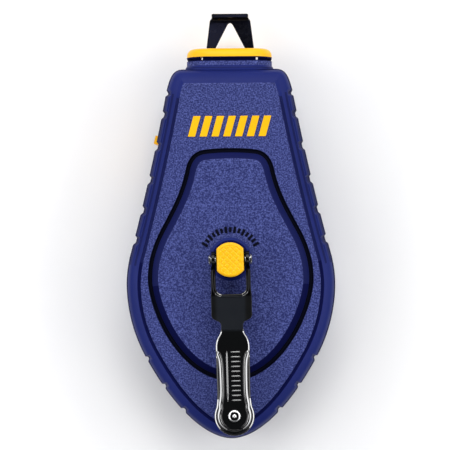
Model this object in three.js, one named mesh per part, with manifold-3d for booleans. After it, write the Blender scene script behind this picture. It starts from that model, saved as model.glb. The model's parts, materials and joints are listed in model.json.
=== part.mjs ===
// Chalk line reel: a two-shell case with a spool of line inside, a planetary rewind
// drive, a folding crank on the front face and a hook on the end of the line.
//
// Millimetres. The reel lies on its back: +Z out of the front face along the spool
// axis, +Y towards the nose and the hook, +X to the right. The origin is where the
// spool axis meets the flat of the rear panel.

import * as THREE from 'three';
import { mergeVertices } from 'three/addons/utils/BufferGeometryUtils.js';
import Module from 'manifold-3d';

const wasm = await Module();
wasm.setup();

// ---------------------------------------------------------------- driving dimensions
const GAP = 0.3; // left between pieces that touch
const MID = 22; // height of the parting plane between the shells
const FACE = 19.5; // case face, measured out from the parting plane
const PANEL = 22; // raised pear-shaped panel, measured out from the parting plane
const WALL = 2.6; // shell wall
const SEAM = 0.15; // each shell stops this far short of the parting plane
const FAR = 150; // past the whole reel, for cutters

// Case section: [height above the parting plane, inset from the widest outline].
const CASE_SECTION = [
  [0, 0], [14, 1.0], [17, 2.4], [18.9, 5.4], [18.5, 5.6], [18.5, 6.2], [FACE, 6.4],
];
const CAVITY_SECTION = [[-1, WALL], [14.2, 4.0], [16.8, 6.6]];
const PANEL_ROOM = { inset: 5.2, low: 15, floor: 19.4 }; // hollow behind the raised panel
const PANEL_GROOVE = { half: 0.7, depth: 1.3 };
const PANEL_SLOPE = 3.5; // from the middle of the groove to the edge of the plateau

const GRIP = { depth: 1.0, top: 17 }; // top is out from the parting plane
const GRIP_NOTCHES = [
  // [y on the flank, length along the flank]
  [75.4, 2.3], [65.5, 3.4], [51.2, 3.8], [36.0, 3.9], [22.1, 3.8], [8.6, 3.9],
  [-45.6, 1.9], [-58.1, 1.9], [-69.3, 1.9],
];

const NECK = { halfX: 19.5, halfZ: 13.5, corner: 9, low: 80, top: 90.9 };
const NECK_BORE = { halfX: 17.6, halfZ: 11.6, corner: 7.6, bottom: 83.8 };
const COLLAR = { halfX: 19.5, halfZ: 14, corner: 10, bottom: 91.2, top: 96, recessX: 16.6, recessTop: 91.9 };
const SKIRT = { halfX: 17.2, halfZ: 11.2, corner: 7.2, wall: 1.5, bottom: 84.6, hollowTop: 93.1 };
const VENT = { x: 12.6, half: 0.5, low: 89.6, high: 93 };
const LINE_RIBS = { halfX: 14, low: 2, high: 17.5, spans: [[72.4, 74.2], [81.8, 83.6]] };
const FELT = { halfX: 11, low: 74.6, high: 81.4, inner: 0.95, outer: 11 };
const GUIDE = { r: 3.5, bore: 1.5, low: 81.9, high: 83.5, seat: 3.9 };

const HOOK = { thick: 1.5, bottom: 86, eyeY: 89, eyeR: 1.3, bend: 110.2, lip: 6.9, lipTilt: 75 };
const HOOK_SLOT = { halfX: 12.4, half: 1.15 };

const SPOOL = {
  flange: 33.5, hub: 13, bore: 4.4, low: 5.6, high: 25.4, plate: 1.8, wellInner: 7, wellOuter: 11, wellFloor: 9,
};
const WINDING = { inner: 13.3, outer: 31, low: 7.7, high: 23.3, crown: 0.6 };
const AXLE = { r: 4.1, low: 3.2, high: 29.6, bossR: 7.4, bossTop: 4.2 };
const WASHER = { inner: 4.4, outer: 8.5, low: 4.5, high: 5.3 };
const LINE_R = 0.55;

const GEAR = {
  module: 1.2, sun: 18, planet: 9, low: 25.9, high: 29.9, addendum: 0.62, dedendum: 0.95, slack: 0.22, pressureAngle: 24,
};
const RING_TEETH = GEAR.sun + 2 * GEAR.planet;
const PLANET_ORBIT = (GEAR.module * (GEAR.sun + GEAR.planet)) / 2;
const PLANET_ANGLES = [90, 210, 330];
const PLANET = { high: 30.9, bore: 1.9, pinR: 1.6, pinLow: 26.2, pinHigh: 34.5 };
const RING_GEAR = { r: 25.5, bore: 23.5, low: 26.2, high: 38.4 };
const RING_WALL = { inner: 25.9, outer: 28.3, low: 27.2 }; // wall of the front shell that holds the ring gear
const CARRIER = { r: 20.5, low: 31.6, high: 34.8 };
const CLUTCH = { flats: 9.4, socketFlats: 10, socketTop: 38.4, low: 32.4, high: 36.8 };

const CRANK_ANGLE = 1.1; // degrees about the spool axis at which the crank rests
const SHAFT = { r: 7.4, low: 35.2, bore: 2.8, clipLow: 35.9, clipHigh: 36.8, clipR: 6.7 };
const SHAFT_HOLE_R = 10.3;
const BUSHING = { bore: 7.7, flange: 12.5, r: 10, low: 38.9, shoulder: 41.1, high: 43.9 };
const BUSHING_WALL = { inner: 12.9, outer: 15.4, low: 38.6 };
const SEAL = { outer: 11.5, low: 37.2, high: 38.6 };
const CLIP = { inner: 7.0, outer: 10.2, low: 36.0, high: 36.7, gap: 4.2 };
const HUB = { flange: 9.2, low: 44.4, high: 46.4, yoke: 7.6, halfFlat: 6.5, top: 54.5, pocket: 4.6, pocketFloor: 48 };
const HINGE_Z = 52; // crank hinge axis, along X above the spool axis
const HINGE = { hole: 1.8, pinR: 1.5, pinFrom: 4.9, pinTo: 9.3, headR: 2.55, headTo: 9.9 };
const EAR = { inner: 6.9, outer: 8.5, r: 3.8, low: 50.2, from: -25.2, to: -0.5 };
const ARM = { low: 53.6, high: 55.2, bead: 0.6, beadWidth: 1.3, beadFrom: -33, endY: -69.7, endR: 8.9, rivetHole: 2.2 };
const KNOB = { r: 7, low: 42.6, high: 53.1, bore: 2.3, recess: 3.9, recessTop: 44.8 };
const RIVET = { foot: 3.5, footLow: 43.2, r: 1.9, head: 2.7, headLow: 55.5, high: 56.4 };
const BUTTON = { r: 7.7, halfFlat: 6, low: 56.9, high: 59.6, edge: 0.8 };
const STEM = { r: 2.4, low: 37.1, high: 57.7 };
const SPRING = { r: 3.6, wire: 0.45, turns: 4, low: 48.9, rise: 7.1 };

const SCREWS = [[0, -71], [33, -33], [-33, -33], [22, 69], [-22, 69]];
const SCREW = { head: 3.0, low: 3.1, under: 5.6, shank: 1.4, high: 32.4, slot: 4.2, slotHalf: 0.4, slotReach: 2.1 };
const BOSS = { front: 3.6, frontHole: 1.75, frontDepth: 17.2, rear: 4.8, rearHole: 1.8, counterbore: 3.4, counterTop: 6 };

// Fill door track: a straight track let into the left flank. In its own frame x runs
// inward from the flank, y up along it and z across it.
const TRACK = { x: -32.2, y: 60, angle: -13.01, low: -46.8, high: 2.5, from: 1.9, to: 4, wallTo: 6.8, wall: 2.6 };
const DOOR = { length: 25.2, top: 1.2, halfZ: 10.5, halfWindow: 8.5, face: 0.5, from: 2.2, to: 3.7 };
const THUMB = { from: -1.3, low: -7.5, high: -3.2, halfZ: 7 };
const PORT = { low: -21.5, high: -1.5, halfZ: 7.5 };
const PORT_SEAL = { from: 4.2, to: 4.75, inner: 0.8, outer: 1.8 };

// ---------------------------------------------------------------- geometry helpers
function toSolid(geometry) {
  const bare = geometry.clone();
  bare.deleteAttribute('normal');
  bare.deleteAttribute('uv');
  const merged = mergeVertices(bare, 1e-4);
  const index = merged.index.array;
  const triVerts = [];
  for (let i = 0; i < index.length; i += 3) {
    const [a, b, c] = [index[i], index[i + 1], index[i + 2]];
    if (a !== b && b !== c && c !== a) triVerts.push(a, b, c);
  }
  const vertProperties = new Float32Array(merged.attributes.position.array);
  return new wasm.Manifold(new wasm.Mesh({ numProp: 3, vertProperties, triVerts: new Uint32Array(triVerts) }));
}

function toGeometry(solid) {
  const mesh = solid.getMesh();
  const geometry = new THREE.BufferGeometry();
  geometry.setAttribute('position', new THREE.BufferAttribute(mesh.vertProperties, 3));
  geometry.setIndex(new THREE.BufferAttribute(mesh.triVerts, 1));
  geometry.computeVertexNormals();
  return geometry;
}

function join(...solids) {
  return solids.reduce((all, one) => all.add(one));
}

function cut(solid, ...cutters) {
  return cutters.reduce((left, one) => left.subtract(one), solid);
}

function box(x0, x1, y0, y1, z0, z1) {
  const geometry = new THREE.BoxGeometry(x1 - x0, y1 - y0, z1 - z0);
  geometry.translate((x0 + x1) / 2, (y0 + y1) / 2, (z0 + z1) / 2);
  return toSolid(geometry);
}

function cylinder(r, z0, z1, x = 0, y = 0, sides = 24) {
  const geometry = new THREE.CylinderGeometry(r, r, z1 - z0, sides);
  geometry.rotateX(Math.PI / 2);
  geometry.translate(x, y, (z0 + z1) / 2);
  return toSolid(geometry);
}

function cylinderX(r, x0, x1, y, z, sides = 18) {
  const geometry = new THREE.CylinderGeometry(r, r, x1 - x0, sides);
  geometry.rotateZ(Math.PI / 2);
  geometry.translate((x0 + x1) / 2, y, z);
  return toSolid(geometry);
}

function cylinderY(r, y0, y1, x, z, sides = 18) {
  const geometry = new THREE.CylinderGeometry(r, r, y1 - y0, sides);
  geometry.translate(x, (y0 + y1) / 2, z);
  return toSolid(geometry);
}

// A turned piece about +Z. The profile is a closed list of [radius, z].
function turned(profile, sides = 24) {
  const points = [...profile, profile[0]].map(([r, z]) => new THREE.Vector2(r, z));
  const geometry = new THREE.LatheGeometry(points, sides);
  geometry.rotateX(Math.PI / 2);
  const solid = toSolid(geometry);
  return solid.volume() > 0 ? solid : toSolid(flipped(geometry));
}

function flipped(geometry) {
  const copy = geometry.clone();
  const index = copy.index.array;
  for (let i = 0; i < index.length; i += 3) {
    [index[i], index[i + 1]] = [index[i + 1], index[i]];
  }
  return copy;
}

function ring(inner, outer, z0, z1, x = 0, y = 0, sides = 24) {
  return cut(cylinder(outer, z0, z1, x, y, sides), cylinder(inner, z0 - 1, z1 + 1, x, y, sides));
}

// A flat outline of Vector2 points, raised from z0 to z1.
function prism(points, z0, z1, holes = []) {
  const shape = new THREE.Shape(points);
  shape.holes = holes.map((hole) => new THREE.Path(hole));
  const geometry = new THREE.ExtrudeGeometry(shape, { depth: z1 - z0, bevelEnabled: false, curveSegments: 12 });
  geometry.translate(0, 0, z0);
  return toSolid(geometry);
}

// A closed body through rings of Vector3 points, every ring with the same count.
function loft(rings) {
  const count = rings[0].length;
  const position = rings.flat().flatMap((p) => [p.x, p.y, p.z]);
  const index = [];
  for (let k = 0; k + 1 < rings.length; k += 1) {
    for (let i = 0; i < count; i += 1) {
      const j = (i + 1) % count;
      const [a, b, c, d] = [k * count + i, k * count + j, (k + 1) * count + i, (k + 1) * count + j];
      index.push(a, b, d, a, d, c);
    }
  }
  const cap = (points, base, turn) => {
    const normalY = Math.abs(points[0].y - points[Math.floor(count / 3)].y) < 1e-6;
    const flat = points.map((p) => (normalY ? new THREE.Vector2(p.x, p.z) : new THREE.Vector2(p.x, p.y)));
    for (const [a, b, c] of THREE.ShapeUtils.triangulateShape(flat, [])) {
      index.push(...(turn ? [base + a, base + c, base + b] : [base + a, base + b, base + c]));
    }
  };
  cap(rings[0], 0, true);
  cap(rings[rings.length - 1], (rings.length - 1) * count, false);
  const geometry = new THREE.BufferGeometry();
  geometry.setAttribute('position', new THREE.BufferAttribute(new Float32Array(position), 3));
  geometry.setIndex(index);
  const solid = toSolid(geometry);
  return solid.volume() > 0 ? solid : toSolid(flipped(geometry));
}

// Samples a half outline that runs from the top to the bottom on the +X side, and
// closes it by its mirror image, anticlockwise seen from +Z.
function closeByMirror(path, step) {
  const half = [path.curves[0].getPoint(0)];
  for (const curve of path.curves) {
    const parts = Math.max(1, Math.ceil(curve.getLength() / step));
    for (let i = 1; i <= parts; i += 1) half.push(curve.getPointAt(i / parts));
  }
  const left = half.map((p) => new THREE.Vector2(-p.x, p.y));
  return [...left, ...half.slice(1, -1).reverse()];
}

// Drops points that repeat the one before them.
function distinct(points) {
  return points.filter((p, i) => p.distanceTo(points[(i + points.length - 1) % points.length]) > 0.01);
}

// Moves each point of an anticlockwise outline inward by a distance.
function inset(points, distance) {
  const count = points.length;
  return points.map((p, i) => {
    const before = p.clone().sub(points[(i + count - 1) % count]).normalize();
    const after = points[(i + 1) % count].clone().sub(p).normalize();
    const normal = new THREE.Vector2(-before.y - after.y, before.x + after.x).normalize();
    const reach = Math.max(0.5, normal.dot(new THREE.Vector2(-before.y, before.x)));
    return p.clone().addScaledVector(normal, distance / reach);
  });
}

function roundedRectangle(halfX, halfY, corner, perCorner = 4) {
  const points = [];
  for (const [sx, sy, from] of [[1, 1, 0], [-1, 1, 90], [-1, -1, 180], [1, -1, 270]]) {
    for (let i = 0; i <= perCorner; i += 1) {
      const a = THREE.MathUtils.degToRad(from + (90 * i) / perCorner);
      points.push(new THREE.Vector2(
        sx * (halfX - corner) + corner * Math.cos(a),
        sy * (halfY - corner) + corner * Math.sin(a),
      ));
    }
  }
  return points;
}

// A body along Y whose section is a rounded rectangle about the parting plane.
// levels: [y, how much smaller each half size is].
function noseBody(size, levels) {
  return loft(levels.map(([y, less]) => roundedRectangle(
    size.halfX - less, size.halfZ - less, size.corner - less,
  ).map((p) => new THREE.Vector3(p.x, y, MID + p.y))));
}

// ---------------------------------------------------------------- outlines
function caseOutline(step) {
  const path = new THREE.Path();
  path.moveTo(0, 86.6);
  path.lineTo(21, 86.6);
  path.bezierCurveTo(26, 86.6, 27.2, 83, 28.8, 77);
  path.bezierCurveTo(33.5, 52, 39.45, 26, 46.2, 1);
  path.bezierCurveTo(47.1, -3, 47.7, -7, 47.7, -11.5);
  path.bezierCurveTo(47.7, -22.5, 44.8, -34, 39.7, -43.7);
  path.bezierCurveTo(26.65, -68.5, 11.5, -82, 0, -82);
  return closeByMirror(path, step);
}

function panelOutline(step) {
  const path = new THREE.Path();
  path.moveTo(0, 49);
  path.quadraticCurveTo(6, 49, 11, 48.4);
  path.bezierCurveTo(15.3, 47.9, 17.3, 45.5, 18.6, 41.5);
  path.bezierCurveTo(20.8, 31.5, 23.8, 25.6, 30.5, 14.3);
  path.bezierCurveTo(34.2, 8, 36.4, 0, 36.4, -8);
  path.bezierCurveTo(36.4, -21.3, 24.8, -54, 0, -54);
  return closeByMirror(path, step);
}

const CASE_OUTLINE = caseOutline(8.5);
const PANEL_OUTLINE = panelOutline(7);

// ---------------------------------------------------------------- case shells
// side is +1 for the front shell and -1 for the rear one: the two are mirror images
// about the parting plane in everything that both have.
function levelled(outline, section, side) {
  return loft(section.map(([height, depth]) => inset(outline, depth).map(
    (p) => new THREE.Vector3(p.x, p.y, MID + side * height),
  )));
}

function slab(outline, side, low, high) {
  const [a, b] = [MID + side * low, MID + side * high];
  return prism(outline, Math.min(a, b), Math.max(a, b));
}

function halfSpace(side) {
  const [a, b] = [MID + side * SEAM, MID + side * FAR];
  return box(-FAR, FAR, -FAR, FAR, Math.min(a, b), Math.max(a, b));
}

function flankAt(y) {
  const right = CASE_OUTLINE.filter((p) => p.x > 0).sort((a, b) => b.y - a.y);
  const i = right.findIndex((p) => p.y < y);
  const [above, below] = [right[i - 1], right[i]];
  const t = (above.y - y) / (above.y - below.y);
  const point = above.clone().lerp(below, t);
  return { x: point.x, angle: Math.atan2(below.x - above.x, above.y - below.y) };
}

function placed(solid, x, y, angle) {
  const turn = new THREE.Matrix4().makeRotationZ(angle).setPosition(x, y, 0);
  const geometry = toGeometry(solid);
  geometry.applyMatrix4(turn);
  return toSolid(geometry);
}

// Gaps between the grip pads: cut down to a surface a fixed depth under the flank.
function gripCutter(side) {
  const rim = CASE_SECTION.filter(([height]) => height <= GRIP.top);
  const core = levelled(CASE_OUTLINE, [[-2, GRIP.depth], ...rim.map(([h, d]) => [h, d + GRIP.depth])], side);
  const [z0, z1] = [MID - side, MID + side * GRIP.top];
  const reach = 3 * GRIP.depth;
  const block = (length) => box(-reach, reach, -length / 2, length / 2, Math.min(z0, z1), Math.max(z0, z1));
  const blocks = GRIP_NOTCHES.flatMap(([y, length]) => {
    const { x, angle } = flankAt(y);
    return [placed(block(length), x, y, angle), placed(block(length), -x, y, -angle)];
  });
  return join(...blocks).subtract(core);
}

function onTrack(solid) {
  return placed(solid, TRACK.x, TRACK.y, THREE.MathUtils.degToRad(TRACK.angle));
}

function trackBox(x0, x1, y0, y1, halfZ) {
  return onTrack(box(x0, x1, y0, y1, MID - halfZ, MID + halfZ));
}

// A block around the fill port, larger than it by grow.
function portBox(x0, x1, grow) {
  return trackBox(x0, x1, PORT.low - grow, PORT.high + grow, PORT.halfZ + grow);
}

function trackCutters() {
  const sealGroove = cut(
    portBox(TRACK.to - 0.1, PORT_SEAL.to + GAP, PORT_SEAL.outer + GAP),
    portBox(TRACK.to - 1, PORT_SEAL.to + 1, PORT_SEAL.inner - GAP),
  );
  return [
    trackBox(-6, DOOR.from + 0.8, TRACK.low, TRACK.high, DOOR.halfWindow + GAP),
    trackBox(TRACK.from, TRACK.to, TRACK.low, TRACK.high, DOOR.halfZ + GAP),
    portBox(-1, 9, 0),
    sealGroove,
  ];
}

function caseBlank(side) {
  const body = levelled(CASE_OUTLINE, CASE_SECTION, side);
  const neck = noseBody(NECK, [[NECK.low, 0], [NECK.top - 1.2, 0], [NECK.top, 1]]);
  const grooveOut = slab(inset(PANEL_OUTLINE, -PANEL_GROOVE.half), side, FACE - PANEL_GROOVE.depth, FACE + 1);
  const panel = levelled(PANEL_OUTLINE, [
    [FACE - PANEL_GROOVE.depth - 0.5, PANEL_GROOVE.half],
    [FACE, PANEL_GROOVE.half],
    [PANEL, PANEL_SLOPE],
  ], side);
  return join(body, neck).subtract(grooveOut).add(panel).subtract(gripCutter(side));
}

function caseCavity(side) {
  const room = levelled(CASE_OUTLINE, CAVITY_SECTION, side);
  const panelRoom = slab(inset(PANEL_OUTLINE, PANEL_ROOM.inset), side, PANEL_ROOM.low, PANEL_ROOM.floor);
  const trackWall = trackBox(-1, TRACK.wallTo, TRACK.low - 2, TRACK.high + 2, DOOR.halfZ + TRACK.wall);
  return join(room, panelRoom).subtract(trackWall);
}

// Cross ribs that hold the felt pads and the line guide, either side of the line.
function lineRibs(side) {
  const [z0, z1] = [MID + side * LINE_RIBS.low, MID + side * LINE_RIBS.high];
  return join(...LINE_RIBS.spans.map(
    ([y0, y1]) => box(-LINE_RIBS.halfX, LINE_RIBS.halfX, y0, y1, Math.min(z0, z1), Math.max(z0, z1)),
  ));
}

function neckCutters(side) {
  const vent = (x) => box(x - VENT.half, x + VENT.half, VENT.low, VENT.high, MID, MID + FAR);
  return [
    noseBody(NECK_BORE, [[NECK_BORE.bottom, 0], [NECK.top + 2, 0]]),
    cylinderY(GUIDE.seat, GUIDE.low - 0.9, GUIDE.high + 0.5, 0, MID),
    ...(side > 0 ? [vent(VENT.x), vent(-VENT.x)] : []),
  ];
}

function frontShell() {
  const side = 1;
  const roof = MID + PANEL_ROOM.floor + 0.4; // a little way into the panel
  const bosses = SCREWS.map(([x, y]) => cylinder(BOSS.front, MID + SEAM, MID + BOSS.frontDepth, x, y, 14));
  const screwHoles = SCREWS.map(([x, y]) => cylinder(BOSS.frontHole, MID - 1, SCREW.high + 0.6, x, y, 10));
  const gearWall = ring(RING_WALL.inner, RING_WALL.outer, RING_WALL.low, roof, 0, 0, 36);
  const bushingWall = ring(BUSHING_WALL.inner, BUSHING_WALL.outer, BUSHING_WALL.low, roof);
  const inside = join(lineRibs(side), gearWall, bushingWall, ...bosses);
  return cut(
    caseBlank(side).subtract(caseCavity(side)).add(inside).intersect(halfSpace(side)),
    cylinder(SHAFT_HOLE_R, SEAL.low, FAR, 0, 0, 30),
    ...screwHoles,
    ...neckCutters(side),
    ...trackCutters(),
  );
}

function rearShell() {
  const side = -1;
  const bosses = SCREWS.map(([x, y]) => cylinder(BOSS.rear, 4, MID - SEAM, x, y, 14));
  const counterbores = SCREWS.map(([x, y]) => cylinder(BOSS.counterbore, -1, BOSS.counterTop, x, y, 16));
  const screwHoles = SCREWS.map(([x, y]) => cylinder(BOSS.rearHole, -1, MID + 1, x, y, 10));
  const axleBoss = cylinder(AXLE.bossR, 2, AXLE.bossTop, 0, 0, 28);
  const inside = join(lineRibs(side), axleBoss, ...bosses);
  return cut(
    caseBlank(side).subtract(caseCavity(side)).add(inside).intersect(halfSpace(side)),
    cylinder(AXLE.r + GAP, AXLE.low - GAP, 10, 0, 0, 28),
    ...counterbores,
    ...screwHoles,
    ...neckCutters(side),
    ...trackCutters(),
  );
}

// ---------------------------------------------------------------- nose
function noseCollar() {
  const band = noseBody(COLLAR, [
    [COLLAR.bottom, 0.7], [COLLAR.bottom + 0.7, 0], [COLLAR.top - 1.2, 0], [COLLAR.top - 0.4, 0.5], [COLLAR.top, 1.5],
  ]);
  const skirt = noseBody(SKIRT, [[SKIRT.bottom, 0], [COLLAR.bottom + 1, 0]]);
  const hollow = noseBody(SKIRT, [[SKIRT.bottom - 1, SKIRT.wall], [SKIRT.hollowTop, SKIRT.wall]]);
  const slot = box(
    -HOOK_SLOT.halfX, HOOK_SLOT.halfX, COLLAR.bottom - 1, COLLAR.top + 1, MID - HOOK_SLOT.half, MID + HOOK_SLOT.half,
  );
  const underside = [-1, 1].map((s) => {
    const [a, b] = [MID + s * SKIRT.halfZ, MID + s * FAR];
    return box(-COLLAR.recessX, COLLAR.recessX, COLLAR.bottom - 1, COLLAR.recessTop, Math.min(a, b), Math.max(a, b));
  });
  const vents = [-1, 1].map((s) => box(
    s * VENT.x - VENT.half, s * VENT.x + VENT.half, VENT.low, VENT.high, MID - FAR, MID,
  ));
  const slits = [-1, 1].map((s) => box(
    s * VENT.x - VENT.half, s * VENT.x + VENT.half, VENT.low, COLLAR.recessTop, MID, MID + FAR,
  ));
  return cut(join(band, skirt), hollow, slot, ...underside, ...vents, ...slits);
}

function lineHook() {
  const right = [[11.9, HOOK.bottom], [11.9, 88], [10.8, 98], [9.3, 110], [8.9, HOOK.bend + 0.8]];
  const outline = [
    ...right.map(([x, y]) => new THREE.Vector2(x, y)),
    ...right.map(([x, y]) => new THREE.Vector2(-x, y)).reverse(),
  ];
  const window = new THREE.Path();
  window.moveTo(-7.4, 95.2);
  window.lineTo(7.4, 95.2);
  window.lineTo(1.35, 107.4);
  window.quadraticCurveTo(0, 109.6, -1.35, 107.4);
  const eye = new THREE.Path();
  eye.absarc(0, HOOK.eyeY, HOOK.eyeR, 0, 2 * Math.PI);
  const [low, high] = [MID - HOOK.thick / 2, MID + HOOK.thick / 2];
  const plate = prism(outline, low, high, [window.getPoints(6), eye.getPoints(12)]);
  const tip = [[9.1, -0.6], [9.1, 5.4], [7.6, HOOK.lip], [-7.6, HOOK.lip], [-9.1, 5.4], [-9.1, -0.6]];
  const lip = new THREE.ExtrudeGeometry(
    new THREE.Shape(tip.map(([x, s]) => new THREE.Vector2(x, s))),
    { depth: HOOK.thick, bevelEnabled: false },
  );
  lip.translate(0, 0, -HOOK.thick / 2);
  lip.rotateX(THREE.MathUtils.degToRad(HOOK.lipTilt));
  lip.translate(0, HOOK.bend, MID);
  return plate.add(toSolid(lip));
}

function feltPad(side) {
  const [a, b] = [MID + side * FELT.inner, MID + side * FELT.outer];
  return box(-FELT.halfX, FELT.halfX, FELT.low, FELT.high, Math.min(a, b), Math.max(a, b));
}

function lineGuide() {
  return cut(cylinderY(GUIDE.r, GUIDE.low, GUIDE.high, 0, MID), cylinderY(GUIDE.bore, GUIDE.low - 1, GUIDE.high + 1, 0, MID));
}

// The free run of line: off the winding along its tangent, past the felts, to the hook.
function lineRun() {
  const start = WINDING.outer + LINE_R + GAP;
  const height = (WINDING.low + WINDING.high) / 2;
  const bend = new THREE.Vector2(1.2, 73); // where the run turns towards the nose
  const reach = bend.length();
  const a = Math.atan2(bend.y, bend.x) - Math.acos(start / reach);
  const route = new THREE.CurvePath();
  const points = [
    new THREE.Vector3(start * Math.cos(a), start * Math.sin(a), height),
    new THREE.Vector3(bend.x * 2, bend.y - 4, MID - 0.4),
    new THREE.Vector3(bend.x * 0.5, bend.y + 4, MID),
    new THREE.Vector3(0, HOOK.bottom - GAP, MID),
  ];
  route.add(new THREE.LineCurve3(points[0], points[1]));
  route.add(new THREE.QuadraticBezierCurve3(points[1], new THREE.Vector3(bend.x, bend.y, MID), points[2]));
  route.add(new THREE.LineCurve3(points[2], points[3]));
  const section = new THREE.Shape();
  section.absarc(0, 0, LINE_R, 0, 2 * Math.PI);
  return toSolid(new THREE.ExtrudeGeometry(section, { steps: 14, extrudePath: route, curveSegments: 4 }));
}

// ---------------------------------------------------------------- spool and drive
function spool() {
  return turned([
    [SPOOL.bore, SPOOL.low], [SPOOL.flange, SPOOL.low], [SPOOL.flange, SPOOL.low + SPOOL.plate],
    [SPOOL.hub, SPOOL.low + SPOOL.plate], [SPOOL.hub, SPOOL.high - SPOOL.plate],
    [SPOOL.flange, SPOOL.high - SPOOL.plate], [SPOOL.flange, SPOOL.high], [SPOOL.wellOuter, SPOOL.high],
    [SPOOL.wellOuter, SPOOL.wellFloor], [SPOOL.wellInner, SPOOL.wellFloor], [SPOOL.wellInner, SPOOL.high],
    [SPOOL.bore, SPOOL.high],
  ], 36);
}

function winding() {
  const middle = (WINDING.low + WINDING.high) / 2;
  return turned([
    [WINDING.inner, WINDING.low], [WINDING.outer - WINDING.crown, WINDING.low], [WINDING.outer, middle],
    [WINDING.outer - WINDING.crown, WINDING.high], [WINDING.inner, WINDING.high],
  ], 36);
}

// Straight-sided teeth, centred on the angles phase + i * pitch.
// inward is true for the teeth of an internal ring.
function toothOutline(teeth, phase, inward) {
  const pitchR = (GEAR.module * teeth) / 2;
  const way = inward ? -1 : 1;
  const tipR = pitchR + way * GEAR.addendum * GEAR.module;
  const rootR = pitchR - way * GEAR.dedendum * GEAR.module;
  const half = (Math.PI / 2 / teeth) * (1 - GEAR.slack);
  const lean = Math.tan(THREE.MathUtils.degToRad(GEAR.pressureAngle)) * GEAR.module / pitchR;
  const tipHalf = half - lean * GEAR.addendum;
  const rootHalf = half + lean * GEAR.dedendum;
  const points = [];
  for (let i = 0; i < teeth; i += 1) {
    const a = phase + (2 * Math.PI * i) / teeth;
    for (const [r, turn] of [[rootR, -rootHalf], [tipR, -tipHalf], [tipR, tipHalf], [rootR, rootHalf]]) {
      points.push(new THREE.Vector2(r * Math.cos(a + turn), r * Math.sin(a + turn)));
    }
  }
  return points;
}

function sunGear() {
  const teeth = prism(toothOutline(GEAR.sun, THREE.MathUtils.degToRad(180 / GEAR.sun), false), GEAR.low, GEAR.high);
  return teeth.subtract(cylinder(SPOOL.bore, 0, FAR, 0, 0, 28));
}

function planetGear(angle) {
  const a = THREE.MathUtils.degToRad(angle);
  const outline = toothOutline(GEAR.planet, a, false);
  const blank = prism(outline, GEAR.low, PLANET.high).subtract(cylinder(PLANET.bore, 0, FAR, 0, 0, 12));
  return placed(blank, PLANET_ORBIT * Math.cos(a), PLANET_ORBIT * Math.sin(a), 0);
}

function planetPin(angle) {
  const a = THREE.MathUtils.degToRad(angle);
  return cylinder(PLANET.pinR, PLANET.pinLow, PLANET.pinHigh, PLANET_ORBIT * Math.cos(a), PLANET_ORBIT * Math.sin(a), 10);
}

function ringGear() {
  const teeth = toothOutline(RING_TEETH, THREE.MathUtils.degToRad(180 / RING_TEETH), true);
  const rim = cylinder(RING_GEAR.r, RING_GEAR.low, RING_GEAR.high, 0, 0, 36).subtract(prism(teeth, 0, PLANET.high + 0.1));
  return rim.subtract(cylinder(RING_GEAR.bore, PLANET.high, FAR, 0, 0, 36));
}

function hexagon(acrossFlats) {
  const r = acrossFlats / Math.sqrt(3);
  return [0, 1, 2, 3, 4, 5].map((i) => new THREE.Vector2(
    r * Math.cos((i * Math.PI) / 3), r * Math.sin((i * Math.PI) / 3),
  ));
}

function planetCarrier() {
  const holes = PLANET_ANGLES.map((angle) => {
    const a = THREE.MathUtils.degToRad(angle);
    return cylinder(PLANET.bore, 0, FAR, PLANET_ORBIT * Math.cos(a), PLANET_ORBIT * Math.sin(a), 12);
  });
  const plate = cylinder(CARRIER.r, CARRIER.low, CARRIER.high, 0, 0, 32);
  return cut(plate, prism(hexagon(CLUTCH.socketFlats), 0, FAR), ...holes);
}

function clutchPlate() {
  return prism(hexagon(CLUTCH.flats), CLUTCH.low, CLUTCH.high);
}

// ---------------------------------------------------------------- crank and button
// Pieces of the crank are drawn with the arm along -Y, and then turned to where it rests.
function atRest(solid) {
  return placed(solid, 0, 0, THREE.MathUtils.degToRad(CRANK_ANGLE));
}

function crankHub() {
  const shaft = cylinder(SHAFT.r, SHAFT.low, HUB.low + 0.6, 0, 0, 24);
  const clipGroove = ring(SHAFT.clipR, SHAFT.r + 1, SHAFT.clipLow, SHAFT.clipHigh);
  const flange = turned([
    [0, HUB.low], [HUB.flange, HUB.low], [HUB.flange, HUB.high - 0.6], [HUB.flange - 0.6, HUB.high], [0, HUB.high],
  ], 32);
  const flats = box(-HUB.halfFlat, HUB.halfFlat, -HUB.yoke, HUB.yoke, HUB.low, HUB.top);
  const yoke = cylinder(HUB.yoke, HUB.high - 0.2, HUB.top, 0, 0, 32).intersect(flats);
  return cut(
    join(shaft.subtract(clipGroove), flange, yoke),
    cylinder(SHAFT.bore, 0, FAR, 0, 0, 14),
    cylinder(HUB.pocket, HUB.pocketFloor, FAR, 0, 0, 18),
    prism(hexagon(CLUTCH.socketFlats), 0, CLUTCH.socketTop),
    cylinderX(HINGE.hole, -FAR, FAR, 0, HINGE_Z, 12),
  );
}

function frontBushing() {
  return turned([
    [BUSHING.bore, BUSHING.low], [BUSHING.flange, BUSHING.low], [BUSHING.flange, BUSHING.shoulder],
    [BUSHING.r, BUSHING.shoulder], [BUSHING.r, BUSHING.high], [BUSHING.bore, BUSHING.high],
  ], 28);
}

function shaftSeal() {
  return ring(BUSHING.bore, SEAL.outer, SEAL.low, SEAL.high);
}

function shaftClip() {
  return ring(CLIP.inner, CLIP.outer, CLIP.low, CLIP.high).subtract(box(0, FAR, -CLIP.gap, CLIP.gap, 0, FAR));
}

function hingePin(side) {
  const span = (a, b, r, sides) => cylinderX(r, Math.min(side * a, side * b), Math.max(side * a, side * b), 0, HINGE_Z, sides);
  return span(HINGE.pinFrom, HINGE.pinTo, HINGE.pinR, 12).add(span(EAR.outer + GAP, HINGE.headTo, HINGE.headR, 16));
}

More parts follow.
